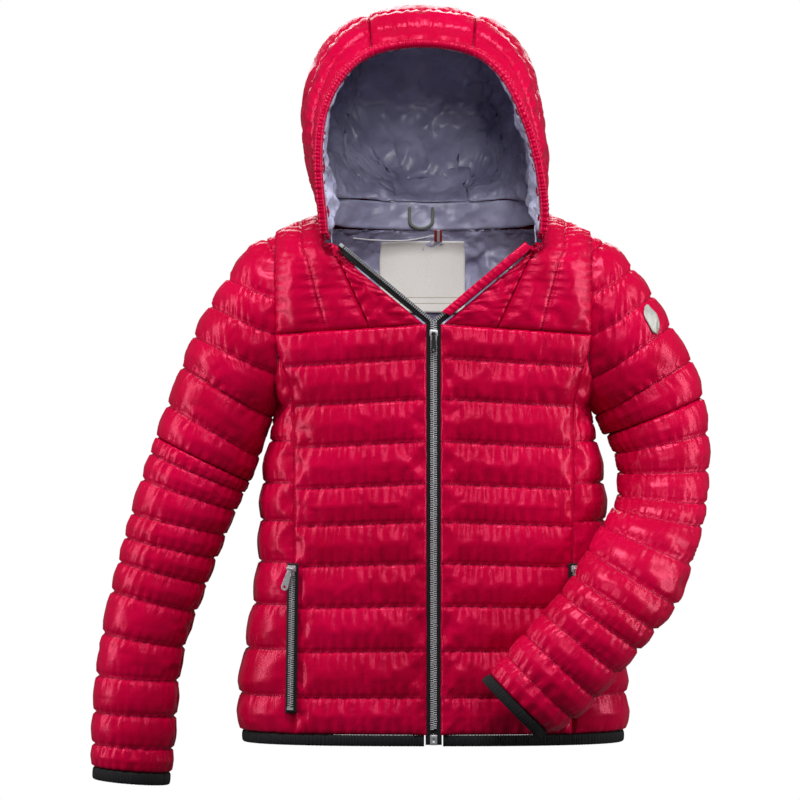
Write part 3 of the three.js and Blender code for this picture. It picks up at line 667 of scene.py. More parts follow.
def sleeve_part(at, s, seams):
    """A surface whose lines of even v are the seams in turn."""
    u = np.linspace(0, 1, 181)
    found = [seam_round(at, s, seam, u) for seam in seams]
    marks = np.linspace(0, 1, len(seams))

    def surface(uu, vv):
        rows = np.array([[np.interp(row_u, u, f[k]) for f in found] for k in (0, 1) for row_u in uu[:1]])
        v = vv[:, 0]
        k = np.clip(np.searchsorted(marks, v, side="right") - 1, 0, len(marks) - 2)
        t = ((v - marks[k]) / (marks[k + 1] - marks[k]))[:, None]
        r, a = (lerp(row[k], row[k + 1], t) for row in rows)
        p = at(r, a)
        if r.min() < 0.1:
            x = np.maximum(s * p[..., 0], ARM_X + 0.4)
            p[..., 0] = s * (x - 8 * np.clip(1 - (x - ARM_X) / 24, 0, 1))
        return p

    return surface, marks


SLEEVES = {}
for side, s, rings, seams, lower in (
    ("right", -1, RELAXED, RELAXED_SEAMS, RELAXED_RINGS),
    ("left", 1, BENT, BENT_SEAMS, BENT_RINGS),
):
    at, last = sleeve_at(s, rings), len(rings) - 1
    core = middle_line(at, last)
    SLEEVES[side] = (at, core, last)
    surface, marks = sleeve_part(at, s, seams)
    sewn_rows = [m for m, seam in zip(marks, seams) if seam != seams[5]]
    made = quilted(
        f"{side}_sleeve_upper",
        surface,
        [0, 1],
        sewn_rows,
        (330, 300),
        core,
        edges=[("u0", 3), ("u1", 3)],
    )
    joins(made, "upper", f"{side}_upper_sleeve_front", f"{side}_upper_sleeve_back")
    surface, marks = sleeve_part(at, s, lower + [last - 0.02])
    made = quilted(
        f"{side}_sleeve_lower",
        surface,
        [0, 1],
        list(marks),
        (340, 400),
        core,
        wrap=True,
    )
    joins(made, "lower", f"{side}_forearm_front", f"{side}_forearm_back")

# ---- linings: body fronts and back, neck, hood and pocket bags ----
# Thin glossy lavender-grey polyester, cut a little fuller than the shell and held only at its seams,
# so it lies in many small creases.
UNDER = 12 + 3.4  # wall of the shell and the gap behind it
LINED = {}  # the size that each lining was cut to, and its flat area


def lining(name, at, size, core, off, full=0.06, wrinkle=1.6, tacks=0.012, lip=None):
    """A crumpled sheet that hangs from its edges and a few tacks, seen from its inner side."""
    u, _ = stations([0, 1], size[0] * 0.8)
    v, _ = stations([0, 1], size[1] * 0.8)
    uu, vv = np.meshgrid(u, v)
    p = at(uu, vv)
    n, flip = outward(p, core)
    rows, columns = uu.shape
    random = np.random.default_rng(sum(map(ord, name)))
    held = random.uniform(0, 1, (rows, columns)) < tacks
    held[[0, -1]] = True
    held[:, [0, -1]] = True
    rough = sum(
        k * np.kron(random.normal(0, 1, (rows // w + 2, columns // w + 2)), np.ones((w, w)))[:rows, :columns]
        for w, k in ((1, 0.3), (4, 0.6), (9, 0.6))
    )
    far = distances(p, 0)
    deep = np.full((rows, columns), off + 1.0)
    if lip is not None:
        deep = lerp(lip, deep, np.clip(far / 34, 0, 1))
    smooth = p - n * deep[..., None]
    p = smooth - n * (wrinkle * np.abs(rough) * 0.6 * ~held)[..., None]
    uv = np.stack([distances(p, 1), far], -1) * MM
    made = mesh_object(name, p, grid_faces(rows, columns, False, not flip), uv)
    group = made.vertex_groups.new(name="sewn")
    group.add(np.flatnonzero(held.ravel()).tolist(), 1.0, "REPLACE")
    SEWN.append((made, 0.15, full))
    width = distances(smooth, 1)[:, -1].max() * (1 + full / 2)
    length = distances(smooth, 0)[-1].max() * (1 + full / 2)
    a, b = smooth[1:, 1:] - smooth[:-1, :-1], smooth[1:, :-1] - smooth[:-1, 1:]
    area = np.linalg.norm(np.cross(a, b), axis=-1).sum() / 2 * (1 + full)
    LINED[made.name] = ((width * MM, length * MM), min(area, width * length) * MM**2)
    return made


LINING_Z = HEM_Z + 16


def back_lined(u, v):
    z = lerp(-120, LINING_Z, v)
    return back(lerp(-1, 1, u) * (princess(z) - 34), z)


def neck_lined(u, v):
    x = lerp(-ARM_X + 34, ARM_X - 34, u)
    return back(x, lerp(-119, back_top(x) - 3, np.sin(v * math.pi / 2)))


joins(lining("lining_back", back_lined, (300, 500), body_core, UNDER), "jacket_body", "back_lining")
joins(lining("lining_neck", neck_lined, (320, 130), body_core, UNDER), "jacket_body", "neck_lining")
for side, s in (("right", -1), ("left", 1)):

    def front_lined(u, v, s=s):
        z = lerp(YOKE_Z - 14, LINING_Z, v)
        return front(s * lerp(16, princess(z) - 16, u), z)

    def bag(u, v, s=s):
        return front(s * lerp(62, ARM_X - 32, u), lerp(-430, -600, v))

    made = lining(f"lining_front_{side}", front_lined, (140, 480), body_core, UNDER - 1)
    joins(made, "jacket_body", f"front_lining_{side}")
    made = lining(f"pocket_pouch_{side}", bag, (96, 170), body_core, UNDER + 3)
    joins(made, "jacket_body", f"pocket_bag_{side}")


def hood_lined(u, v):
    p = lerp(0.0, 1, v)
    right = hood_side(-1)(lerp(0.03, 1, np.clip(u / 0.4, 0, 1)), p)
    left = hood_side(1)(lerp(0.03, 1, np.clip((1 - u) / 0.4, 0, 1)), p)
    middle = hood_middle(np.clip((u - 0.4) / 0.2, 0, 1), p * 5 / 6)
    return np.where(u[..., None] < 0.4, right, np.where(u[..., None] > 0.6, left, middle))


def nape_lined(u, v):
    return hood_middle(lerp(-0.12, 1.12, u), lerp(0.8, 0.985, v))


NECK_ROUND = [(-x, y, z) for x, y, z in NECK_ROW] + [(0, NECK_BACK, float(back_top(np.array(0.0))))]
NECK_ROUND += [(x, y, z) for x, y, z in NECK_ROW[::-1]]


def neck_facing(u, v):
    """A low band along the neck seam, which covers the edges of the linings above and below it."""
    p = curve_at(NECK_ROUND, u)
    toward = points(0, 20, p[..., 2]) - p
    toward = toward / np.linalg.norm(toward, axis=-1, keepdims=True)
    return p + toward * 10 + points(0, 0, lerp(20, -14, v))


made = lining("lining_hood", hood_lined, (560, 290), hood_core, UNDER + 3.5, 0.11, 3.4, 0.006, 6)
joins(made, "hood", "hood_lining")
made = lining("lining_nape", nape_lined, (110, 80), hood_core, UNDER + 3, full=0.04)
joins(made, "hood", "hood_lining")
made = lining("lining_neck_band", neck_facing, (470, 42), body_core, 0, full=0.02, wrinkle=0.6)
joins(made, "jacket_body", "neck_lining")

# ---- filling with down ----
# The channels are blown up with down between their seams and the linings are let crumple, all in one
# cloth simulation. The shell then gets its wall, and each piece rides on its body.
STEPS = 28
for made, pressure, full in SEWN:
    cloth = made.modifiers.new("Cloth", "CLOTH")
    s = cloth.settings
    s.quality = 4
    s.mass = 0.12
    s.air_damping = 4
    s.tension_stiffness = 14
    s.compression_stiffness = 14
    s.shear_stiffness = 6
    s.bending_stiffness = 0.1 if pressure > 1 else 0.02
    s.use_pressure = True
    s.uniform_pressure_force = pressure
    s.vertex_group_mass = "sewn"
    s.shrink_min = -full
    s.effector_weights.gravity = 0
    cloth.collision_settings.use_collision = False
    cloth.point_cache.frame_start = 1
    cloth.point_cache.frame_end = STEPS
for step in range(1, STEPS + 1):
    bpy.context.scene.frame_set(step)
for made, pressure, full in SEWN:
    bpy.ops.object.select_all(action="DESELECT")
    bpy.context.view_layer.objects.active = made
    made.select_set(True)
    bpy.ops.object.modifier_apply(modifier="Cloth")
    wall = made.modifiers.new("wall", "SOLIDIFY")
    wall.thickness = 0.0055 if pressure > 1 else 0.0008
    wall.offset = -1
    bpy.ops.object.modifier_apply(modifier="wall")

shell_cloth, tree, shader = material("down_proof_nylon_taffeta")
# Calendered nylon taffeta: a tight fine weave pressed to a gloss, so highlights are bright but soft.
# Sewn with thread of the same colour, one stitch to 3 mm, which dimples the cloth along each seam.
seam_map = node(tree, "ShaderNodeUVMap", {"uv_map": "seams"})
place = node(tree, "ShaderNodeSeparateXYZ", Vector=seam_map.outputs[0])
here = node(tree, "ShaderNodeTexCoord").outputs["Object"]
along_seam = node(
    tree, "ShaderNodeMath", {"operation": "MULTIPLY"}, i0=place.outputs[0], i1=2 * math.pi / 0.0032
)
dash = node(tree, "ShaderNodeMath", {"operation": "SINE"}, i0=along_seam.outputs[0])
on_seam = node(tree, "ShaderNodeMapRange", i0=place.outputs[1], i1=0.0, i2=0.0010, i3=1.0, i4=0.0)
thread = node(tree, "ShaderNodeMath", {"operation": "MULTIPLY"}, i0=dash.outputs[0], i1=on_seam.outputs[0])
tone = node(tree, "ShaderNodeTexNoise", Vector=here, Scale=14.0, Detail=3.0)
shade = node(tree, "ShaderNodeValToRGB", Fac=tone.outputs[0])
shade.color_ramp.elements[0].color = linear("#b60030")
shade.color_ramp.elements[0].position = 0.3
shade.color_ramp.elements[1].color = linear("#cc003d")
shade.color_ramp.elements[1].position = 0.7
# Painted shade: a band 1 mm wide along each seam is mixed to a darker crimson, as shade in the sunk crease
# would make it.
seam_crease_painted_shade = node(
    tree,
    "ShaderNodeMix",
    {"data_type": "RGBA"},
    i0=on_seam.outputs[0],
    i6=shade.outputs[0],
    i7=linear("#96002c"),
)
tree.links.new(seam_crease_painted_shade.outputs[2], shader.inputs["Base Color"])
weave = node(tree, "ShaderNodeTexNoise", Vector=here, Scale=2200.0, Detail=1.0)
crease = node(tree, "ShaderNodeTexNoise", Vector=here, Scale=170.0, Detail=4.0, Roughness=0.6)
fold = node(tree, "ShaderNodeTexNoise", Vector=here, Scale=60.0, Detail=3.0, Distortion=0.6)
low = node(tree, "ShaderNodeBump", Height=fold.outputs[0], Strength=0.12, Distance=0.003)
along_gather = node(tree, "ShaderNodeMapping", Vector=seam_map.outputs[0], Scale=(1, 0.3, 1))
gather = node(
    tree, "ShaderNodeTexNoise", Vector=along_gather.outputs[0], Scale=150.0, Detail=3.0, Distortion=0.5
)
beside_seam = node(tree, "ShaderNodeMapRange", i0=place.outputs[1], i1=0.0, i2=0.018, i3=1.0, i4=0.14)
drawn = node(
    tree, "ShaderNodeMath", {"operation": "MULTIPLY"}, i0=gather.outputs[0], i1=beside_seam.outputs[0]
)
puckers = node(
    tree, "ShaderNodeBump", Height=drawn.outputs[0], Normal=low.outputs[0], Strength=0.42, Distance=0.0035
)
mid = node(
    tree, "ShaderNodeBump", Height=crease.outputs[0], Normal=puckers.outputs[0], Strength=0.1, Distance=0.001
)
fine = node(
    tree, "ShaderNodeBump", Height=weave.outputs[0], Normal=mid.outputs[0], Strength=0.12, Distance=0.0002
)
sewn = node(
    tree, "ShaderNodeBump", Height=thread.outputs[0], Normal=fine.outputs[0], Strength=0.45, Distance=0.0006
)
tree.links.new(sewn.outputs[0], shader.inputs["Normal"])
gloss = node(tree, "ShaderNodeMapRange", i0=crease.outputs[0], i1=0.3, i2=0.7, i3=0.22, i4=0.33)
tree.links.new(gloss.outputs[0], shader.inputs["Roughness"])
shader.inputs["Sheen Weight"].default_value = 0.06
shader.inputs["Sheen Roughness"].default_value = 0.3
shader.inputs["Sheen Tint"].default_value = linear("#ff5a86")
shader.inputs["Specular IOR Level"].default_value = 0.62
shader.inputs["Specular Tint"].default_value = linear("#ff6a92")

lining_cloth, tree, shader = material("calendered_polyester_lining")
# Thin lining taffeta: filament yarn with a satin gloss and a grey-lavender dye, softly creased.
here = node(tree, "ShaderNodeTexCoord").outputs["Object"]
tone = node(tree, "ShaderNodeTexNoise", Vector=here, Scale=20.0, Detail=4.0)
shade = node(tree, "ShaderNodeValToRGB", Fac=tone.outputs[0])
shade.color_ramp.elements[0].color = linear("#8e8cae")
shade.color_ramp.elements[0].position = 0.3
shade.color_ramp.elements[1].color = linear("#c4c4e2")
shade.color_ramp.elements[1].position = 0.7
tree.links.new(shade.outputs[0], shader.inputs["Base Color"])
ridged = {"noise_type": "RIDGED_MULTIFRACTAL"}
fold = node(tree, "ShaderNodeTexNoise", ridged, Vector=here, Scale=13.0, Detail=2.0, Distortion=0.9)
broad = node(tree, "ShaderNodeBump", Height=fold.outputs[0], Strength=0.7, Distance=0.009)
crease = node(tree, "ShaderNodeTexNoise", ridged, Vector=here, Scale=38.0, Detail=3.0, Distortion=0.7)
low = node(
    tree, "ShaderNodeBump", Height=crease.outputs[0], Normal=broad.outputs[0], Strength=0.7, Distance=0.005
)
weave = node(tree, "ShaderNodeTexNoise", Vector=here, Scale=2400.0)
fine = node(
    tree, "ShaderNodeBump", Height=weave.outputs[0], Normal=low.outputs[0], Strength=0.1, Distance=0.0002
)
tree.links.new(fine.outputs[0], shader.inputs["Normal"])
shader.inputs["Roughness"].default_value = 0.33
shader.inputs["Specular IOR Level"].default_value = 0.7
shader.inputs["Sheen Weight"].default_value = 0.15

for side, (at, core, last) in SLEEVES.items():
    elbow = 7 if side == "right" else 6
    mid = [(at(r, 0.0) + at(r, math.pi)) / 2 for r in (elbow - 0.4, elbow, elbow + 0.4)]
    way = (mid[2] - mid[0]) / np.linalg.norm(mid[2] - mid[0])


def carry(made):
    """Fixes a piece to its body. Pieces of the hood and the sleeves only have their placing baked into their
    meshes.
    """
    body = bodies[made.name]
    if body == "hood":
        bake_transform(made)
    elif body == "upper":
        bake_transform(made)
    elif body == "lower":
        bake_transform(made)
    else:
        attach(made, body)


for made, pressure, full in SEWN:
    lined = made.name in LINED
    made.data.materials.append(lining_cloth if lined else shell_cloth)
    if lined:
        flat, area = LINED[made.name]
        end = made.name.split("_")[-1]
    carry(made)

# ---- gathered casing of the hood opening and facing of the zip ----
# Bias-cut strips of the shell cloth, folded and sewn over elastic cord, so they stand in small gathers.


def gathered(name, centre, up, out, half_up, half_out, period, ripple, wrap=False, square=2.0):
    """A closed strip along a line of points: out and up give its cross-section, and it ripples with
    the given period."""
    step = period / 7
    far = np.concatenate([[0], np.cumsum(np.linalg.norm(np.diff(centre, axis=0), axis=1))])
    count = int(far[-1] / step)
    at = np.linspace(0, far[-1], count + 1)[: count if wrap else count + 1]
    pick = [np.stack([np.interp(at, far, row[:, i]) for i in range(3)], -1) for row in (centre, up, out)]
    line, up, out = pick
    random = np.random.default_rng(sum(map(ord, name)))
    beats = np.cumsum(random.uniform(0.6, 1.4, int(far[-1] / period) + 3))
    phase = np.interp(at / period, np.arange(len(beats)), beats)
    around = np.arange(14) / 14 * 2 * math.pi
    c = np.sign(np.cos(around)) * np.abs(np.cos(around)) ** (2 / square)
    d = np.sign(np.sin(around)) * np.abs(np.sin(around)) ** (2 / square)
    wave = np.sin(2 * math.pi * phase[:, None] + 0.5 * np.sin(around)[None])
    grow = 1 + ripple * wave + 0.25 * ripple * random.normal(0, 1, (len(at), 1))
    p = line[:, None] + (c * half_out)[None, :, None] * grow[..., None] * out[:, None]
    p = p + (d * half_up)[None, :, None] * lerp(1, grow, 0.3)[..., None] * up[:, None]
    uv = np.stack(np.broadcast_arrays(at[:, None], 4 + 0 * around[None]), -1) * MM
    rows, columns = len(at), len(around)
    faces = grid_faces(rows, columns, True)
    if wrap:
        i = np.arange(columns)
        j = (i + 1) % columns
        last = (rows - 1) * columns
        faces = np.concatenate([faces, np.stack([last + i, last + j, j, i], 1)])
    made = mesh_object(name, p, faces, uv)
    bpy.ops.object.select_all(action="DESELECT")
    bpy.context.view_layer.objects.active = made
    made.select_set(True)
    bpy.ops.object.mode_set(mode="EDIT")
    bpy.ops.mesh.select_all(action="SELECT")
    if not wrap:
        bpy.ops.mesh.fill_holes(sides=0)
    bpy.ops.mesh.normals_make_consistent(inside=False)
    bpy.ops.object.mode_set(mode="OBJECT")
    made.data.shade_smooth()
    return made


def across_line(line, rough_out):
    """Unit vectors along, out of and across a line of points."""
    way = np.gradient(line, axis=0)
    way /= np.linalg.norm(way, axis=1, keepdims=True)
    out = rough_out - way * np.sum(rough_out * way, 1, keepdims=True)
    out /= np.linalg.norm(out, axis=1, keepdims=True)
    return way, out, np.cross(way, out)


CASING = 5.4
q = np.linspace(0.03, 0.99, 60)
brow = hood_middle(np.linspace(0.06, 0.94, 24), np.zeros(24))
rim = np.concatenate([hood_side(-1)(q, 0 * q), brow, hood_side(1)(q, 0 * q)[::-1]])
rim = rim + (0, -CASING - 1.7, 0)
far = np.concatenate([[0], np.cumsum(np.linalg.norm(np.diff(rim, axis=0), axis=1))])
t = np.linspace(0, far[-1], 301)
rim = np.stack([np.interp(t, far, rim[:, i]) for i in range(3)], -1)
for _ in range(60):  # eases the corners where the centre strip meets the sides
    rim[1:-1] = (rim[:-2] + 2 * rim[1:-1] + rim[2:]) / 4
way, out, up = across_line(rim, rim - hood_core(rim))
made = gathered("hood_casing", rim, up, out, CASING, CASING, 5.2, 0.08)
made.data.materials.append(shell_cloth)
joins(made, "hood", "hood_edge")
carry(made)

BEND = 0.7


def tape_at(s, u, v):
    """Across the tape (u = 0 at the teeth) and up it (v): to the yoke seam, then along the V."""
    low, knee, turn = HEM_Z + 2, YOKE_Z + 4, YOKE_Z + 0.4
    t = np.clip((v - BEND) / (1 - BEND), 0, 1)
    k = np.clip(v / BEND, 0, 1)
    inner_x, outer_x = lerp(0.25, V_TOP[0] - 18, t), lerp(9.6, V_TOP[0] - 11, t)
    inner_z = np.where(v < BEND, lerp(low, knee, k), lerp(knee, V_TOP[1] - 1, t))
    outer_z = np.where(v < BEND, lerp(low, turn, k), lerp(turn, V_TOP[1] - 8.5, t))
    return front(s * lerp(inner_x, outer_x, u), lerp(inner_z, outer_z, u))


v = np.linspace(BEND + 0.03, 1, 60)
line = tape_at(1, 0.36 + 0 * v, v) + (0, -1.2, 0)
across = tape_at(1, 1 + 0 * v, v) - tape_at(1, 0 * v, v)
across /= np.linalg.norm(across, axis=1, keepdims=True)
way = np.gradient(line, axis=0)
out = np.cross(across, way)
out /= np.linalg.norm(out, axis=1, keepdims=True)
made = gathered("zip_gathered_facing", line, across, out, 5.6, 1.9, 7.5, 0.1, square=2.6)
made.data.materials.append(shell_cloth)
joins(made, "jacket_body", "zip_facing")
carry(made)

# ---- elastic bindings: hem and cuffs ----
# Black knitted elastic folded over the raw edge and sewn stretched, so it draws in fine ribs.
elastic, tree, shader = material("ribbed_knit_elastic")
# Covered rubber with nylon yarn: matt, with ribs about 1.6 mm apart that run across the band.
seam_map = node(tree, "ShaderNodeUVMap", {"uv_map": "seams"})
place = node(tree, "ShaderNodeSeparateXYZ", Vector=seam_map.outputs[0])
turns = node(
    tree, "ShaderNodeMath", {"operation": "MULTIPLY"}, i0=place.outputs[0], i1=2 * math.pi / 0.0016
)
rib = node(tree, "ShaderNodeMath", {"operation": "SINE"}, i0=turns.outputs[0])
here = node(tree, "ShaderNodeTexCoord").outputs["Object"]
yarn = node(tree, "ShaderNodeTexNoise", Vector=here, Scale=1300.0, Detail=2.0)
low = node(tree, "ShaderNodeBump", Height=rib.outputs[0], Strength=0.6, Distance=0.0004)
fine = node(
    tree, "ShaderNodeBump", Height=yarn.outputs[0], Normal=low.outputs[0], Strength=0.4, Distance=0.0003
)
tree.links.new(fine.outputs[0], shader.inputs["Normal"])
shade = node(tree, "ShaderNodeValToRGB", Fac=yarn.outputs[0])
shade.color_ramp.elements[0].color = linear("#09090b")
shade.color_ramp.elements[1].color = linear("#1a1a1e")
tree.links.new(shade.outputs[0], shader.inputs["Base Color"])
shader.inputs["Roughness"].default_value = 0.75
shader.inputs["Specular IOR Level"].default_value = 0.25
shader.inputs["Sheen Weight"].default_value = 0.04

z = HEM_Z + 6.6
a = np.linspace(0.02, 2 * math.pi - 0.02, 721)
wide = half_width(z + 0 * a) - 6.5
x = wide * np.sign(np.sin(a)) * np.abs(np.sin(a)) ** (2 / FULL)
deep = np.where(np.cos(a) > 0, FRONT_DEPTH - 5.5, BACK_DEPTH - 5.5)
ring = points(x, -deep * np.sign(np.cos(a)) * np.abs(np.cos(a)) ** (2 / FULL), z)
way, out, up = across_line(ring, ring * (1, 1, 0))
up = up * np.sign(up[:, 2:])
made = gathered("hem_elastic", ring, up, out, 6.6, 3.6, 3.6, 0.06, square=3.2)
made.data.materials.append(elastic)
joins(made, "jacket_body", "hem_binding")
carry(made)

for side, drop in (("right", 14), ("left", 12)):
    at, core, last = SLEEVES[side]
    end = (at(last, 0.0) + at(last, math.pi)) / 2
    before = (at(last - 0.3, 0.0) + at(last - 0.3, math.pi)) / 2
    down = (end - before) / np.linalg.norm(end - before)
    a = np.linspace(0, 2 * math.pi, 361)
    ring = (at(last + 0 * a, a) - end) * 0.88 + end + down * drop * 0.45
    way, out, up = across_line(ring, ring - ring.mean(0))
    up = np.broadcast_to(down, ring.shape)
    made = gathered(f"{side}_cuff_elastic", ring, up, out, drop * 0.52, 3.2, 3.6, 0.06, wrap=True, square=3.2)
    made.data.materials.append(elastic)
    joins(made, f"{side}_forearm", f"{side}_cuff")
    carry(made)

# ---- front zip: tapes, teeth, stops, retainer box, slider and pull ----
# Woven black polyester tape with a row of nickel-plated brass teeth on its edge, closed up to the
# yoke and open above it.
black_tape, tree, shader = material("woven_polyester_zip_tape")
# Dyed polyester in a twill with ribs about 0.8 mm apart, drawn a little coarse so that it shows.
seam_map = node(tree, "ShaderNodeUVMap", {"uv_map": "seams"})
twill = node(
    tree,
    "ShaderNodeTexWave",
    {"bands_direction": "DIAGONAL"},
    Vector=seam_map.outputs[0],
    Scale=190.0,
    Distortion=0.4,
)
low = node(tree, "ShaderNodeBump", Height=twill.outputs[1], Strength=0.6, Distance=0.0004)
tree.links.new(low.outputs[0], shader.inputs["Normal"])
shade = node(tree, "ShaderNodeValToRGB", Fac=twill.outputs[1])
shade.color_ramp.elements[0].color = linear("#060608")
shade.color_ramp.elements[1].color = linear("#17171b")
tree.links.new(shade.outputs[0], shader.inputs["Base Color"])
shader.inputs["Roughness"].default_value = 0.68
shader.inputs["Specular IOR Level"].default_value = 0.25
shader.inputs["Sheen Weight"].default_value = 0.04

nickel, tree, shader = material("nickel_plated_brass")
# Stamped and barrel-plated: bright, with faint tumbling marks that soften its edges and gloss.
here = node(tree, "ShaderNodeTexCoord").outputs["Object"]
marks = node(tree, "ShaderNodeTexNoise", Vector=here, Scale=900.0, Detail=3.0)
rough = node(tree, "ShaderNodeMapRange", i0=marks.outputs[0], i1=0.3, i2=0.7, i3=0.2, i4=0.36)
tree.links.new(rough.outputs[0], shader.inputs["Roughness"])
bump = node(tree, "ShaderNodeBump", Height=marks.outputs[0], Strength=0.15, Distance=0.0001)
tree.links.new(bump.outputs[0], shader.inputs["Normal"])
shader.inputs["Base Color"].default_value = linear("#c9cacd")
shader.inputs["Metallic"].default_value = 0.6

# One tooth: a small block with a rounded head, bevelled all round, along X and standing in -Y.
bpy.ops.object.select_all(action="DESELECT")
bpy.ops.mesh.primitive_cube_add(size=1)
tooth = bpy.context.object
bpy.ops.object.mode_set(mode="EDIT")
bpy.ops.transform.resize(value=(4.0, 2.4, 1.35))
bpy.ops.mesh.bevel(offset=0.32, segments=1)
bpy.ops.object.mode_set(mode="OBJECT")
tooth_points = np.array([v.co for v in tooth.data.vertices])
tooth_faces = [list(p.vertices) for p in tooth.data.polygons]
bpy.data.objects.remove(tooth)


def teeth_row(name, places, ways, inwards):
    """A tooth at each place: ways run along the tape, and inwards point from it to the other side."""
    ways = ways / np.linalg.norm(ways, axis=1, keepdims=True)
    inwards = inwards - ways * np.sum(inwards * ways, 1, keepdims=True)
    inwards = inwards / np.linalg.norm(inwards, axis=1, keepdims=True)
    out = np.cross(ways, inwards)
    p = places[:, None] + tooth_points[None, :, :1] * inwards[:, None]
    p = p + tooth_points[None, :, 1:2] * out[:, None] + tooth_points[None, :, 2:] * ways[:, None]
    turned = np.linalg.det(np.stack([inwards[0], out[0], ways[0]])) < 0
    faces = []
    for k in range(len(places)):
        for face in tooth_faces:
            ids = [i + k * len(tooth_points) for i in face]
            faces.append(ids[::-1] if turned else ids)
    mesh = bpy.data.meshes.new(name)
    mesh.from_pydata((p.reshape(-1, 3) * MM + (0, MIDDLE_Y, 0)).tolist(), [], faces)
    made = bpy.data.objects.new(name, mesh)
    bpy.context.scene.collection.objects.link(made)
    made.data.materials.append(nickel)
    return made


def tape(name, grid, core, cloth=black_tape, thick=0.0011):
    n, flip = outward(grid, core)
    uv = np.stack([distances(grid, 1), distances(grid, 0)], -1) * MM
    made = mesh_object(name, grid, grid_faces(*grid.shape[:2], False, flip), uv)
    bpy.ops.object.select_all(action="DESELECT")
    bpy.context.view_layer.objects.active = made
    made.select_set(True)
    wall = made.modifiers.new("wall", "SOLIDIFY")
    wall.thickness = thick
    wall.offset = -1
    bpy.ops.object.modifier_apply(modifier="wall")
    made.data.materials.append(cloth)
    return made


PITCH = 2.6
for side, s in (("right", -1), ("left", 1)):
    v = np.concatenate([np.linspace(0, BEND, 160)[:-1], np.linspace(BEND, 1, 50)])
    uu, vv = np.meshgrid(np.linspace(0, 1, 6), v)
    grid = tape_at(s, uu, vv)
    n, flip = outward(grid, body_core)
    made = tape(f"zip_woven_tape_{side}", grid - n * 1.5, body_core)
    joins(made, "jacket_body", f"zip_tape_{side}")
    carry(made)
    v = np.linspace(0.026, 0.985, 4000)
    edge = tape_at(s, 0.0 * v, v)
    far = np.concatenate([[0], np.cumsum(np.linalg.norm(np.diff(edge, axis=0), axis=1))])
    stops = np.arange(0 if s < 0 else PITCH / 2, far[-1], PITCH)
    v = np.interp(stops, far, v)
    edge, beyond = tape_at(s, 0 * v, v), tape_at(s, 0 * v + 0.3, v)
    inwards = edge - beyond
    ways = tape_at(s, 0 * v, np.minimum(v + 0.002, 1)) - tape_at(s, 0 * v, v - 0.002)
    n = np.cross(ways, inwards)
    n /= np.linalg.norm(n, axis=1, keepdims=True)
    n *= -np.sign(n[:, 1:2])
    reach = inwards / np.linalg.norm(inwards, axis=1, keepdims=True)
    made = teeth_row(f"zip_metal_teeth_{side}", edge - reach * 1.6 + n * -0.4, ways, inwards)
    joins(made, "jacket_body", f"zip_teeth_{side}")
    carry(made)

# The retainer box at the bottom: a bevelled block with a recess for the loose tape's pin.
low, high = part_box("zip_retainer_box")
bpy.ops.object.select_all(action="DESELECT")
bpy.ops.mesh.primitive_cube_add(size=1, location=(low + high) / 2)
retainer = bpy.context.object
retainer.name = "zip_retainer"
bpy.ops.object.mode_set(mode="EDIT")
bpy.ops.transform.resize(value=high - low)
bpy.ops.mesh.subdivide(number_cuts=2)
mesh = bmesh.from_edit_mesh(retainer.data)
for face in mesh.faces:
    middle = face.calc_center_median()
    face.select = face.normal.y < -0.9 and abs(middle.x) < 0.001 and abs(middle.z) < 0.0025
bmesh.update_edit_mesh(retainer.data)
bpy.ops.mesh.select_mode(type="FACE")
bpy.ops.mesh.extrude_region_move(TRANSFORM_OT_translate={"value": (0, 0.0012, 0)})
bpy.ops.object.mode_set(mode="OBJECT")
bpy.ops.object.transform_apply(location=True, rotation=True, scale=True)
soften = retainer.modifiers.new("soften", "BEVEL")
soften.width = 0.0005
soften.segments = 2
soften.limit_method = "ANGLE"
bpy.ops.object.modifier_apply(modifier="soften")
bpy.ops.object.shade_smooth_by_angle(angle=0.7)
retainer.data.materials.append(nickel)
joins(retainer, "jacket_body", "zip_retainer_box")
carry(retainer)

# The stops keep their modelled shapes; they are cast and plated like the teeth.
for side in ("right", "left"):
    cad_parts[f"zip_top_stop_{side}"].data.materials.clear()
    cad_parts[f"zip_top_stop_{side}"].data.materials.append(nickel)

black_enamel, tree, shader = material("black_enamelled_zinc")
# Zinc die casting with baked black enamel: a smooth half gloss over a faintly pebbled base.
here = node(tree, "ShaderNodeTexCoord").outputs["Object"]
marks = node(tree, "ShaderNodeTexNoise", Vector=here, Scale=700.0, Detail=2.0)
rough = node(tree, "ShaderNodeMapRange", i0=marks.outputs[0], i1=0.3, i2=0.7, i3=0.28, i4=0.45)
tree.links.new(rough.outputs[0], shader.inputs["Roughness"])
bump = node(tree, "ShaderNodeBump", Height=marks.outputs[0], Strength=0.2, Distance=0.0001)
tree.links.new(bump.outputs[0], shader.inputs["Normal"])
shader.inputs["Base Color"].default_value = linear("#17171a")

# A slider is a plate with two flanges that hold the teeth and two lugs with a pin. A pull tag hangs
# from the pin by its barrel, and widens to a round end with a hole.
PIN = Vector((0, -7.85, 2.5))  # in the slider's own millimetres: Y is 0 at the tape, and Z is up it


def block(size, middle, rounding, taper=1.0):
    """A bevelled block, drawn in at its lower end."""
    bpy.ops.object.select_all(action="DESELECT")
    bpy.ops.mesh.primitive_cube_add(size=1)
    made = bpy.context.object
    bpy.ops.object.mode_set(mode="EDIT")
    bpy.ops.transform.resize(value=size)
    bpy.ops.mesh.select_mode(type="FACE")
    bpy.ops.mesh.select_all(action="DESELECT")
    mesh = bmesh.from_edit_mesh(made.data)
    for face in mesh.faces:
        face.select = face.normal.z < -0.9
    bmesh.update_edit_mesh(made.data)
    bpy.ops.transform.resize(value=(taper, 1, 1))
    bpy.ops.mesh.select_all(action="SELECT")
    bpy.ops.mesh.bevel(offset=rounding, segments=3)
    bpy.ops.transform.translate(value=middle)
    bpy.ops.object.mode_set(mode="OBJECT")
    return made


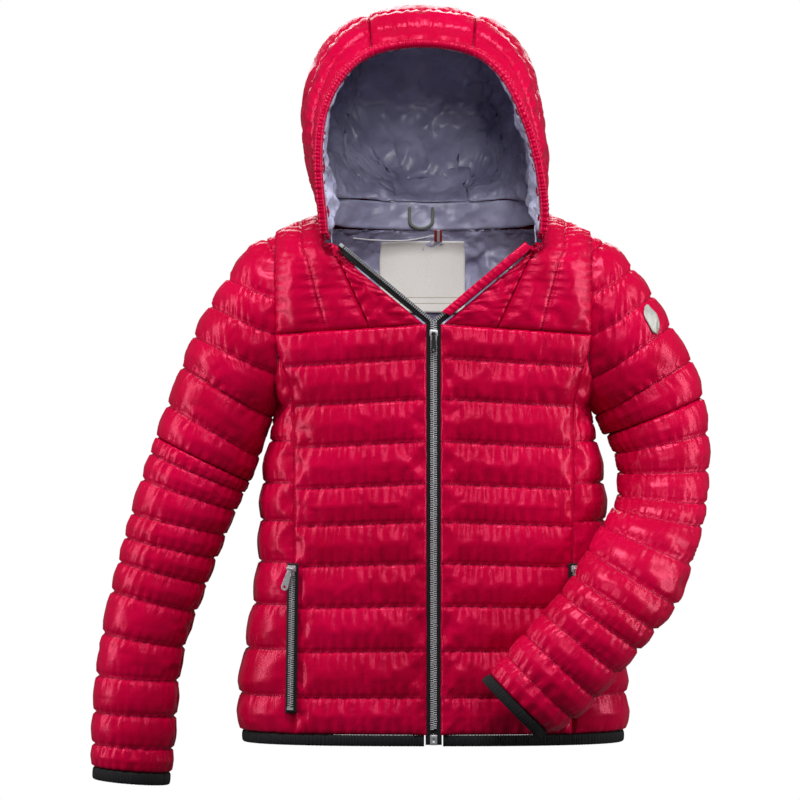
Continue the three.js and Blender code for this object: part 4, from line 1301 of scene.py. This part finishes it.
def barrel(radius, width):
    """A rod along X through the pin's middle, with rounded ends."""
    bpy.ops.object.select_all(action="DESELECT")
    bpy.ops.mesh.primitive_cylinder_add(vertices=24, radius=radius, depth=width)
    made = bpy.context.object
    made.data.transform(Matrix.Rotation(math.pi / 2, 4, "Y"))
    bpy.ops.object.mode_set(mode="EDIT")
    bpy.ops.mesh.bevel(offset=radius * 0.25, segments=2)
    bpy.ops.transform.translate(value=PIN)
    bpy.ops.object.mode_set(mode="OBJECT")
    return made


def plate(length, half):
    """The stamped plate of a pull tag, below the pin."""
    flat = bpy.data.curves.new("plate", "CURVE")
    flat.dimensions = "2D"
    flat.fill_mode = "BOTH"
    flat.extrude = 0.4
    flat.bevel_depth = 0.3
    flat.bevel_resolution = 2
    half, low = half - flat.bevel_depth, half - length
    turn = np.linspace(0, math.pi, 19)
    rim = [(half * math.cos(a), low - half * math.sin(a)) for a in turn]
    eye = [(half * 0.52 * math.cos(a), low + half * 0.52 * math.sin(a)) for a in 2 * turn[:-1]]
    for line in ([(half * 0.62, 0)] + rim + [(-half * 0.62, 0)], eye):
        spline = flat.splines.new("POLY")
        spline.points.add(len(line) - 1)
        for point, (x, y) in zip(spline.points, line):
            point.co = (x, y, 0, 1)
        spline.use_cyclic_u = True
    made = bpy.data.objects.new("plate", flat)
    bpy.context.scene.collection.objects.link(made)
    bpy.ops.object.select_all(action="DESELECT")
    bpy.context.view_layer.objects.active = made
    made.select_set(True)
    bpy.ops.object.convert(target="MESH")
    made = bpy.context.object
    made.data.transform(Matrix.Translation(PIN + Vector((0, 0, -5))) @ Matrix.Rotation(math.pi / 2, 4, "X"))
    return made


def cast(name, pieces, place, finish, node_name):
    """Joins the pieces of a casting, and puts it in its place on the zip."""
    bpy.ops.object.select_all(action="DESELECT")
    for piece in pieces:
        piece.select_set(True)
    bpy.context.view_layer.objects.active = pieces[0]
    bpy.ops.object.join()
    made = bpy.context.object
    made.name = name
    made.data.transform(Matrix.Translation((0, MIDDLE_Y, 0)) @ Matrix.Scale(MM, 4) @ place)
    bpy.ops.object.shade_smooth_by_angle(angle=0.7)
    made.data.materials.clear()
    made.data.materials.append(finish)
    joins(made, node_name, node_name)
    carry(made)


def slider(name, node_name, place):
    pieces = [block((9.6, 2.0, 13), (0, -4.3, 0), 0.7, 0.66)]
    for s in (-1, 1):
        pieces.append(block((1.0, 3.2, 7), (4.2 * s, -2.0, 2.6), 0.3))
        pieces.append(block((1.2, 4.6, 3.6), (3.6 * s, -7.1, 2.5), 0.5))
    cast(name, pieces + [barrel(0.8, 7)], place, nickel, node_name)


def pull(name, node_name, place, length, half, finish, swing=0.0):
    pieces = [plate(length, half), block((half * 1.1, 1.5, 4.4), PIN + Vector((0, 0, -3.6)), 0.4)]
    aside = Matrix.Translation(PIN) @ Matrix.Rotation(swing, 4, "Y") @ Matrix.Translation(-PIN)
    cast(name, pieces + [barrel(1.7, 5)], place @ aside, finish, node_name)


tape_face = float(front(0.0, YOKE_Z - 14)[1]) + 1.5
front_place = Matrix.Translation((0, tape_face, YOKE_Z - 14))
slider("front_slider_cast", "front_zip_slider", front_place)
pull("front_pull_enamelled", "front_zip_pull", front_place, 18, 3.2, black_enamel)

# ---- side pockets ----
# A straight metal zip laid over each front seam, with its own slider, pull and stops.
POCKET_TOP_Z = -421
POCKET_LENGTH = 177
for side, s in (("right", -1), ("left", 1)):
    top = front(s * (princess(POCKET_TOP_Z) - 1), POCKET_TOP_Z)
    low = front(s * (princess(POCKET_TOP_Z - POCKET_LENGTH) + 3), POCKET_TOP_Z - POCKET_LENGTH)
    up = (top - low) / np.linalg.norm(top - low)
    x, z = princess(-500), POCKET_TOP_Z - POCKET_LENGTH / 2
    across = (front(s * (x + 4), z) - front(s * (x - 4), z)) * s
    inward = np.cross(up, across)
    inward /= np.linalg.norm(inward)
    right = np.cross(inward, up)
    middle = (top + low) / 2 - inward * 3.2
    half = POCKET_LENGTH / 2
    uu, vv = np.meshgrid(np.linspace(-7, 7, 7), np.linspace(-half, half, 70))
    grid = middle + uu[..., None] * right + vv[..., None] * up
    made = tape(f"pocket_woven_tape_{side}", grid, body_core)
    joins(made, "jacket_body", f"pocket_tape_{side}")
    carry(made)
    rows = []
    for hand, shift in ((-1, 0), (1, PITCH / 2)):
        z = np.arange(-half + 8 + shift, half - 8, PITCH)[:, None]
        rows.append(middle - inward * 1.3 + hand * 1.6 * right + z * up)
    flat = np.concatenate(rows)
    inwards = np.concatenate([0 * rows[0] + right, 0 * rows[1] - right])
    ways = np.broadcast_to(up, flat.shape)
    made = teeth_row(f"pocket_metal_teeth_{side}", flat, ways, inwards)
    joins(made, "jacket_body", f"pocket_teeth_{side}")
    carry(made)
    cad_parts[f"pocket_stop_{side}"].data.materials.clear()
    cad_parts[f"pocket_stop_{side}"].data.materials.append(nickel)
    turned = Matrix([right, inward, up]).transposed().to_4x4()
    place = Matrix.Translation(middle + up * (half - 9)) @ turned
    slider(f"pocket_slider_cast_{side}", f"pocket_slider_{side}", place)
    swing = 0.3 if side == "right" else 0.0  # the free tag hangs askew in its eye
    pull(f"pocket_pull_plated_{side}", f"pocket_pull_{side}", place, 22, 4.4, nickel, swing)

# ---- neck trims: hanger loop, ribbon, label and the string of a hang tag ----
# Sewn into the neck seam: a corded loop, a folded ribbon, and a large woven satin label.
LABEL_OFF = 12 + 3.4 + 2 + 1.2


def cloth_material(name, base, light_colour, scale, roughness):
    made, tree, shader = material(name)
    here = node(tree, "ShaderNodeTexCoord").outputs["Object"]
    yarn = node(tree, "ShaderNodeTexNoise", Vector=here, Scale=scale, Detail=2.0)
    shade = node(tree, "ShaderNodeValToRGB", Fac=yarn.outputs[0])
    shade.color_ramp.elements[0].color = linear(base)
    shade.color_ramp.elements[0].position = 0.35
    shade.color_ramp.elements[1].color = linear(light_colour)
    shade.color_ramp.elements[1].position = 0.65
    tree.links.new(shade.outputs[0], shader.inputs["Base Color"])
    bump = node(tree, "ShaderNodeBump", Height=yarn.outputs[0], Strength=0.5, Distance=0.0004)
    tree.links.new(bump.outputs[0], shader.inputs["Normal"])
    shader.inputs["Roughness"].default_value = roughness
    shader.inputs["Sheen Weight"].default_value = 0.2
    return made, tree, shader


braid = cloth_material("braided_polyester_cord", "#5d655b", "#858d80", 1500.0, 0.7)[0]
string_yarn = cloth_material("white_cotton_string", "#dcdcd8", "#f8f8f6", 1800.0, 0.8)[0]
ribbon_cloth, tree, shader = cloth_material(
    "striped_woven_ribbon", "#b81e2a", "#cc3038", 1500.0, 0.6
)
seam_map = node(tree, "ShaderNodeUVMap", {"uv_map": "seams"})
place = node(tree, "ShaderNodeSeparateXYZ", Vector=seam_map.outputs[0])
stripe = node(
    tree, "ShaderNodeMath", {"operation": "COMPARE"}, i0=place.outputs[0], i1=0.0051, i2=0.0016
)
base = shader.inputs["Base Color"].links[0].from_socket
two = node(
    tree, "ShaderNodeMix", {"data_type": "RGBA"}, i0=stripe.outputs[0], i6=base, i7=linear("#efece6")
)
tree.links.new(two.outputs[2], shader.inputs["Base Color"])

label_cloth, tree, shader = cloth_material("woven_satin_label", "#f7f4ea", "#fffefa", 900.0, 0.42)
# Plain apart from two woven hairlines near its foot.
seam_map = node(tree, "ShaderNodeUVMap", {"uv_map": "seams"})
place = node(tree, "ShaderNodeSeparateXYZ", Vector=seam_map.outputs[0])
base = shader.inputs["Base Color"].links[0].from_socket
for height in (0.0115, 0.0185):
    line = node(
        tree, "ShaderNodeMath", {"operation": "COMPARE"}, i0=place.outputs[1], i1=height, i2=0.0004
    )
    base = node(
        tree, "ShaderNodeMix", {"data_type": "RGBA"}, i0=line.outputs[0], i6=base, i7=linear("#b9b199")
    ).outputs[2]
tree.links.new(base, shader.inputs["Base Color"])


def trim(name, x0, x1, z0, z1, off, sag, cloth):
    uu, vv = np.meshgrid(np.linspace(0, 1, 40), np.linspace(0, 1, 34))
    grid = back(lerp(x0, x1, uu), lerp(z1, z0, vv))
    n, flip = outward(grid, body_core)
    wave = sag * (np.sin(uu * 5.1 + 1.2 * vv) + 0.6 * np.sin(uu * 9.7 - vv * 4)) * np.sin(vv * math.pi)
    grid = grid - n * (off + np.abs(wave) * 0.8)[..., None]
    return tape(name, grid, lambda p: 2 * p - body_core(p), cloth, 0.0006)


made = trim("neck_satin_label", -66, 40, -24, -122, LABEL_OFF + 4.5, 0.9, label_cloth)
joins(made, "jacket_body", "neck_label")
carry(made)
made = trim("size_striped_ribbon", 2, 12, -4, -24, LABEL_OFF + 5, 0.3, ribbon_cloth)
joins(made, "jacket_body", "size_ribbon")
carry(made)

LOOP_BACK = -MIDDLE_Y / MM
loop = [(-28, 1.6, 6), (-28, -0.5, -10), (-24, -1, -17), (-14, -1, -20), (-4, -1, -17), (0, -0.5, -10)]
loop = [(x, LOOP_BACK + y, z) for x, y, z in loop + [(0, 1.6, 6)]]
line = curve_at(loop, np.linspace(0, 1, 120))
way, out, up = across_line(line, np.broadcast_to([0.0, -1.0, 0.1], line.shape))
made = gathered("hanger_braided_loop", line, up, out, 1.9, 1.9, 2.2, 0.08)
made.data.materials.append(braid)
joins(made, "jacket_body", "hanger_loop")
carry(made)


def inside(x, z, depth):
    return (x, BACK_DEPTH * float(depth_share(x, z)) - depth, z)


path = [inside(10, -26.6, LABEL_OFF + 6.8), inside(-30, -34, LABEL_OFF + 7)]
path += [inside(-70, -34, LABEL_OFF + 9), inside(-96, -32, LABEL_OFF + 13)]
line = curve_at(path, np.linspace(0, 1, 60))
way, out, up = across_line(line, np.broadcast_to([0.0, -1.0, 0.1], line.shape))
made = gathered("tag_cotton_string", line, up, out, 0.8, 0.8, 2.0, 0.06)
made.data.materials.append(string_yarn)
joins(made, "jacket_body", "tag_string")
carry(made)

# ---- sleeve badge ----
# A small plain shield of brushed silver film, heat-sealed on the left upper sleeve.
film, tree, shader = material("brushed_silver_film")
# Metallised polyester film with a fine vertical brush.
here = node(tree, "ShaderNodeTexCoord").outputs["Object"]
stretch = node(tree, "ShaderNodeMapping", Vector=here, Scale=(1, 1, 0.06))
brush = node(tree, "ShaderNodeTexNoise", Vector=stretch.outputs[0], Scale=1600.0, Detail=2.0)
rough = node(tree, "ShaderNodeMapRange", i0=brush.outputs[0], i1=0.3, i2=0.7, i3=0.35, i4=0.6)
tree.links.new(rough.outputs[0], shader.inputs["Roughness"])
shade = node(tree, "ShaderNodeValToRGB", Fac=brush.outputs[0])
shade.color_ramp.elements[0].color = linear("#8f8f8a")
shade.color_ramp.elements[1].color = linear("#c8c7c0")
tree.links.new(shade.outputs[0], shader.inputs["Base Color"])
shader.inputs["Metallic"].default_value = 0.25
at, core, last = SLEEVES["left"]
ways_round = np.linspace(0, 2 * math.pi, 49)[:-1]
wide = np.where(np.sin(ways_round) > 0, 1, 1 + 0.1 * np.sin(ways_round))
x = np.sign(np.cos(ways_round)) * np.abs(np.cos(ways_round)) ** 0.8 * wide
y = np.where(np.sin(ways_round) > 0, np.abs(np.sin(ways_round)) ** 0.35, np.sin(ways_round))
shares = np.linspace(0, 1, 9)[:, None]
r = lerp(2.64, 2.02, (0.5 + 0.5 * y[None] * shares))
a = lerp(-0.96, -0.66, 0.5 + 0.5 * x[None] * shares)
grid = at(r, a)
grid = grid + (grid - core(grid)) * 0.1
made = mesh_object("sleeve_shield", grid, grid_faces(9, 48, True))
bpy.ops.object.select_all(action="DESELECT")
bpy.context.view_layer.objects.active = made
made.select_set(True)
bpy.ops.object.mode_set(mode="EDIT")
bpy.ops.mesh.select_all(action="SELECT")
bpy.ops.mesh.remove_doubles(threshold=0.00001)
bpy.ops.object.mode_set(mode="OBJECT")
cling = made.modifiers.new("cling", "SHRINKWRAP")
cling.target = bpy.data.objects["left_sleeve_upper"]
cling.wrap_method = "PROJECT"
cling.use_positive_direction = True
cling.use_negative_direction = True
cling.project_limit = 0.02
cling.wrap_mode = "ABOVE_SURFACE"
cling.offset = 0.0016
bpy.ops.object.modifier_apply(modifier="cling")
wall = made.modifiers.new("wall", "SOLIDIFY")
wall.thickness = 0.0008
wall.offset = 1
bpy.ops.object.modifier_apply(modifier="wall")
made.data.materials.append(film)
joins(made, "upper", "sleeve_badge")
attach(made, "left_upper_sleeve")
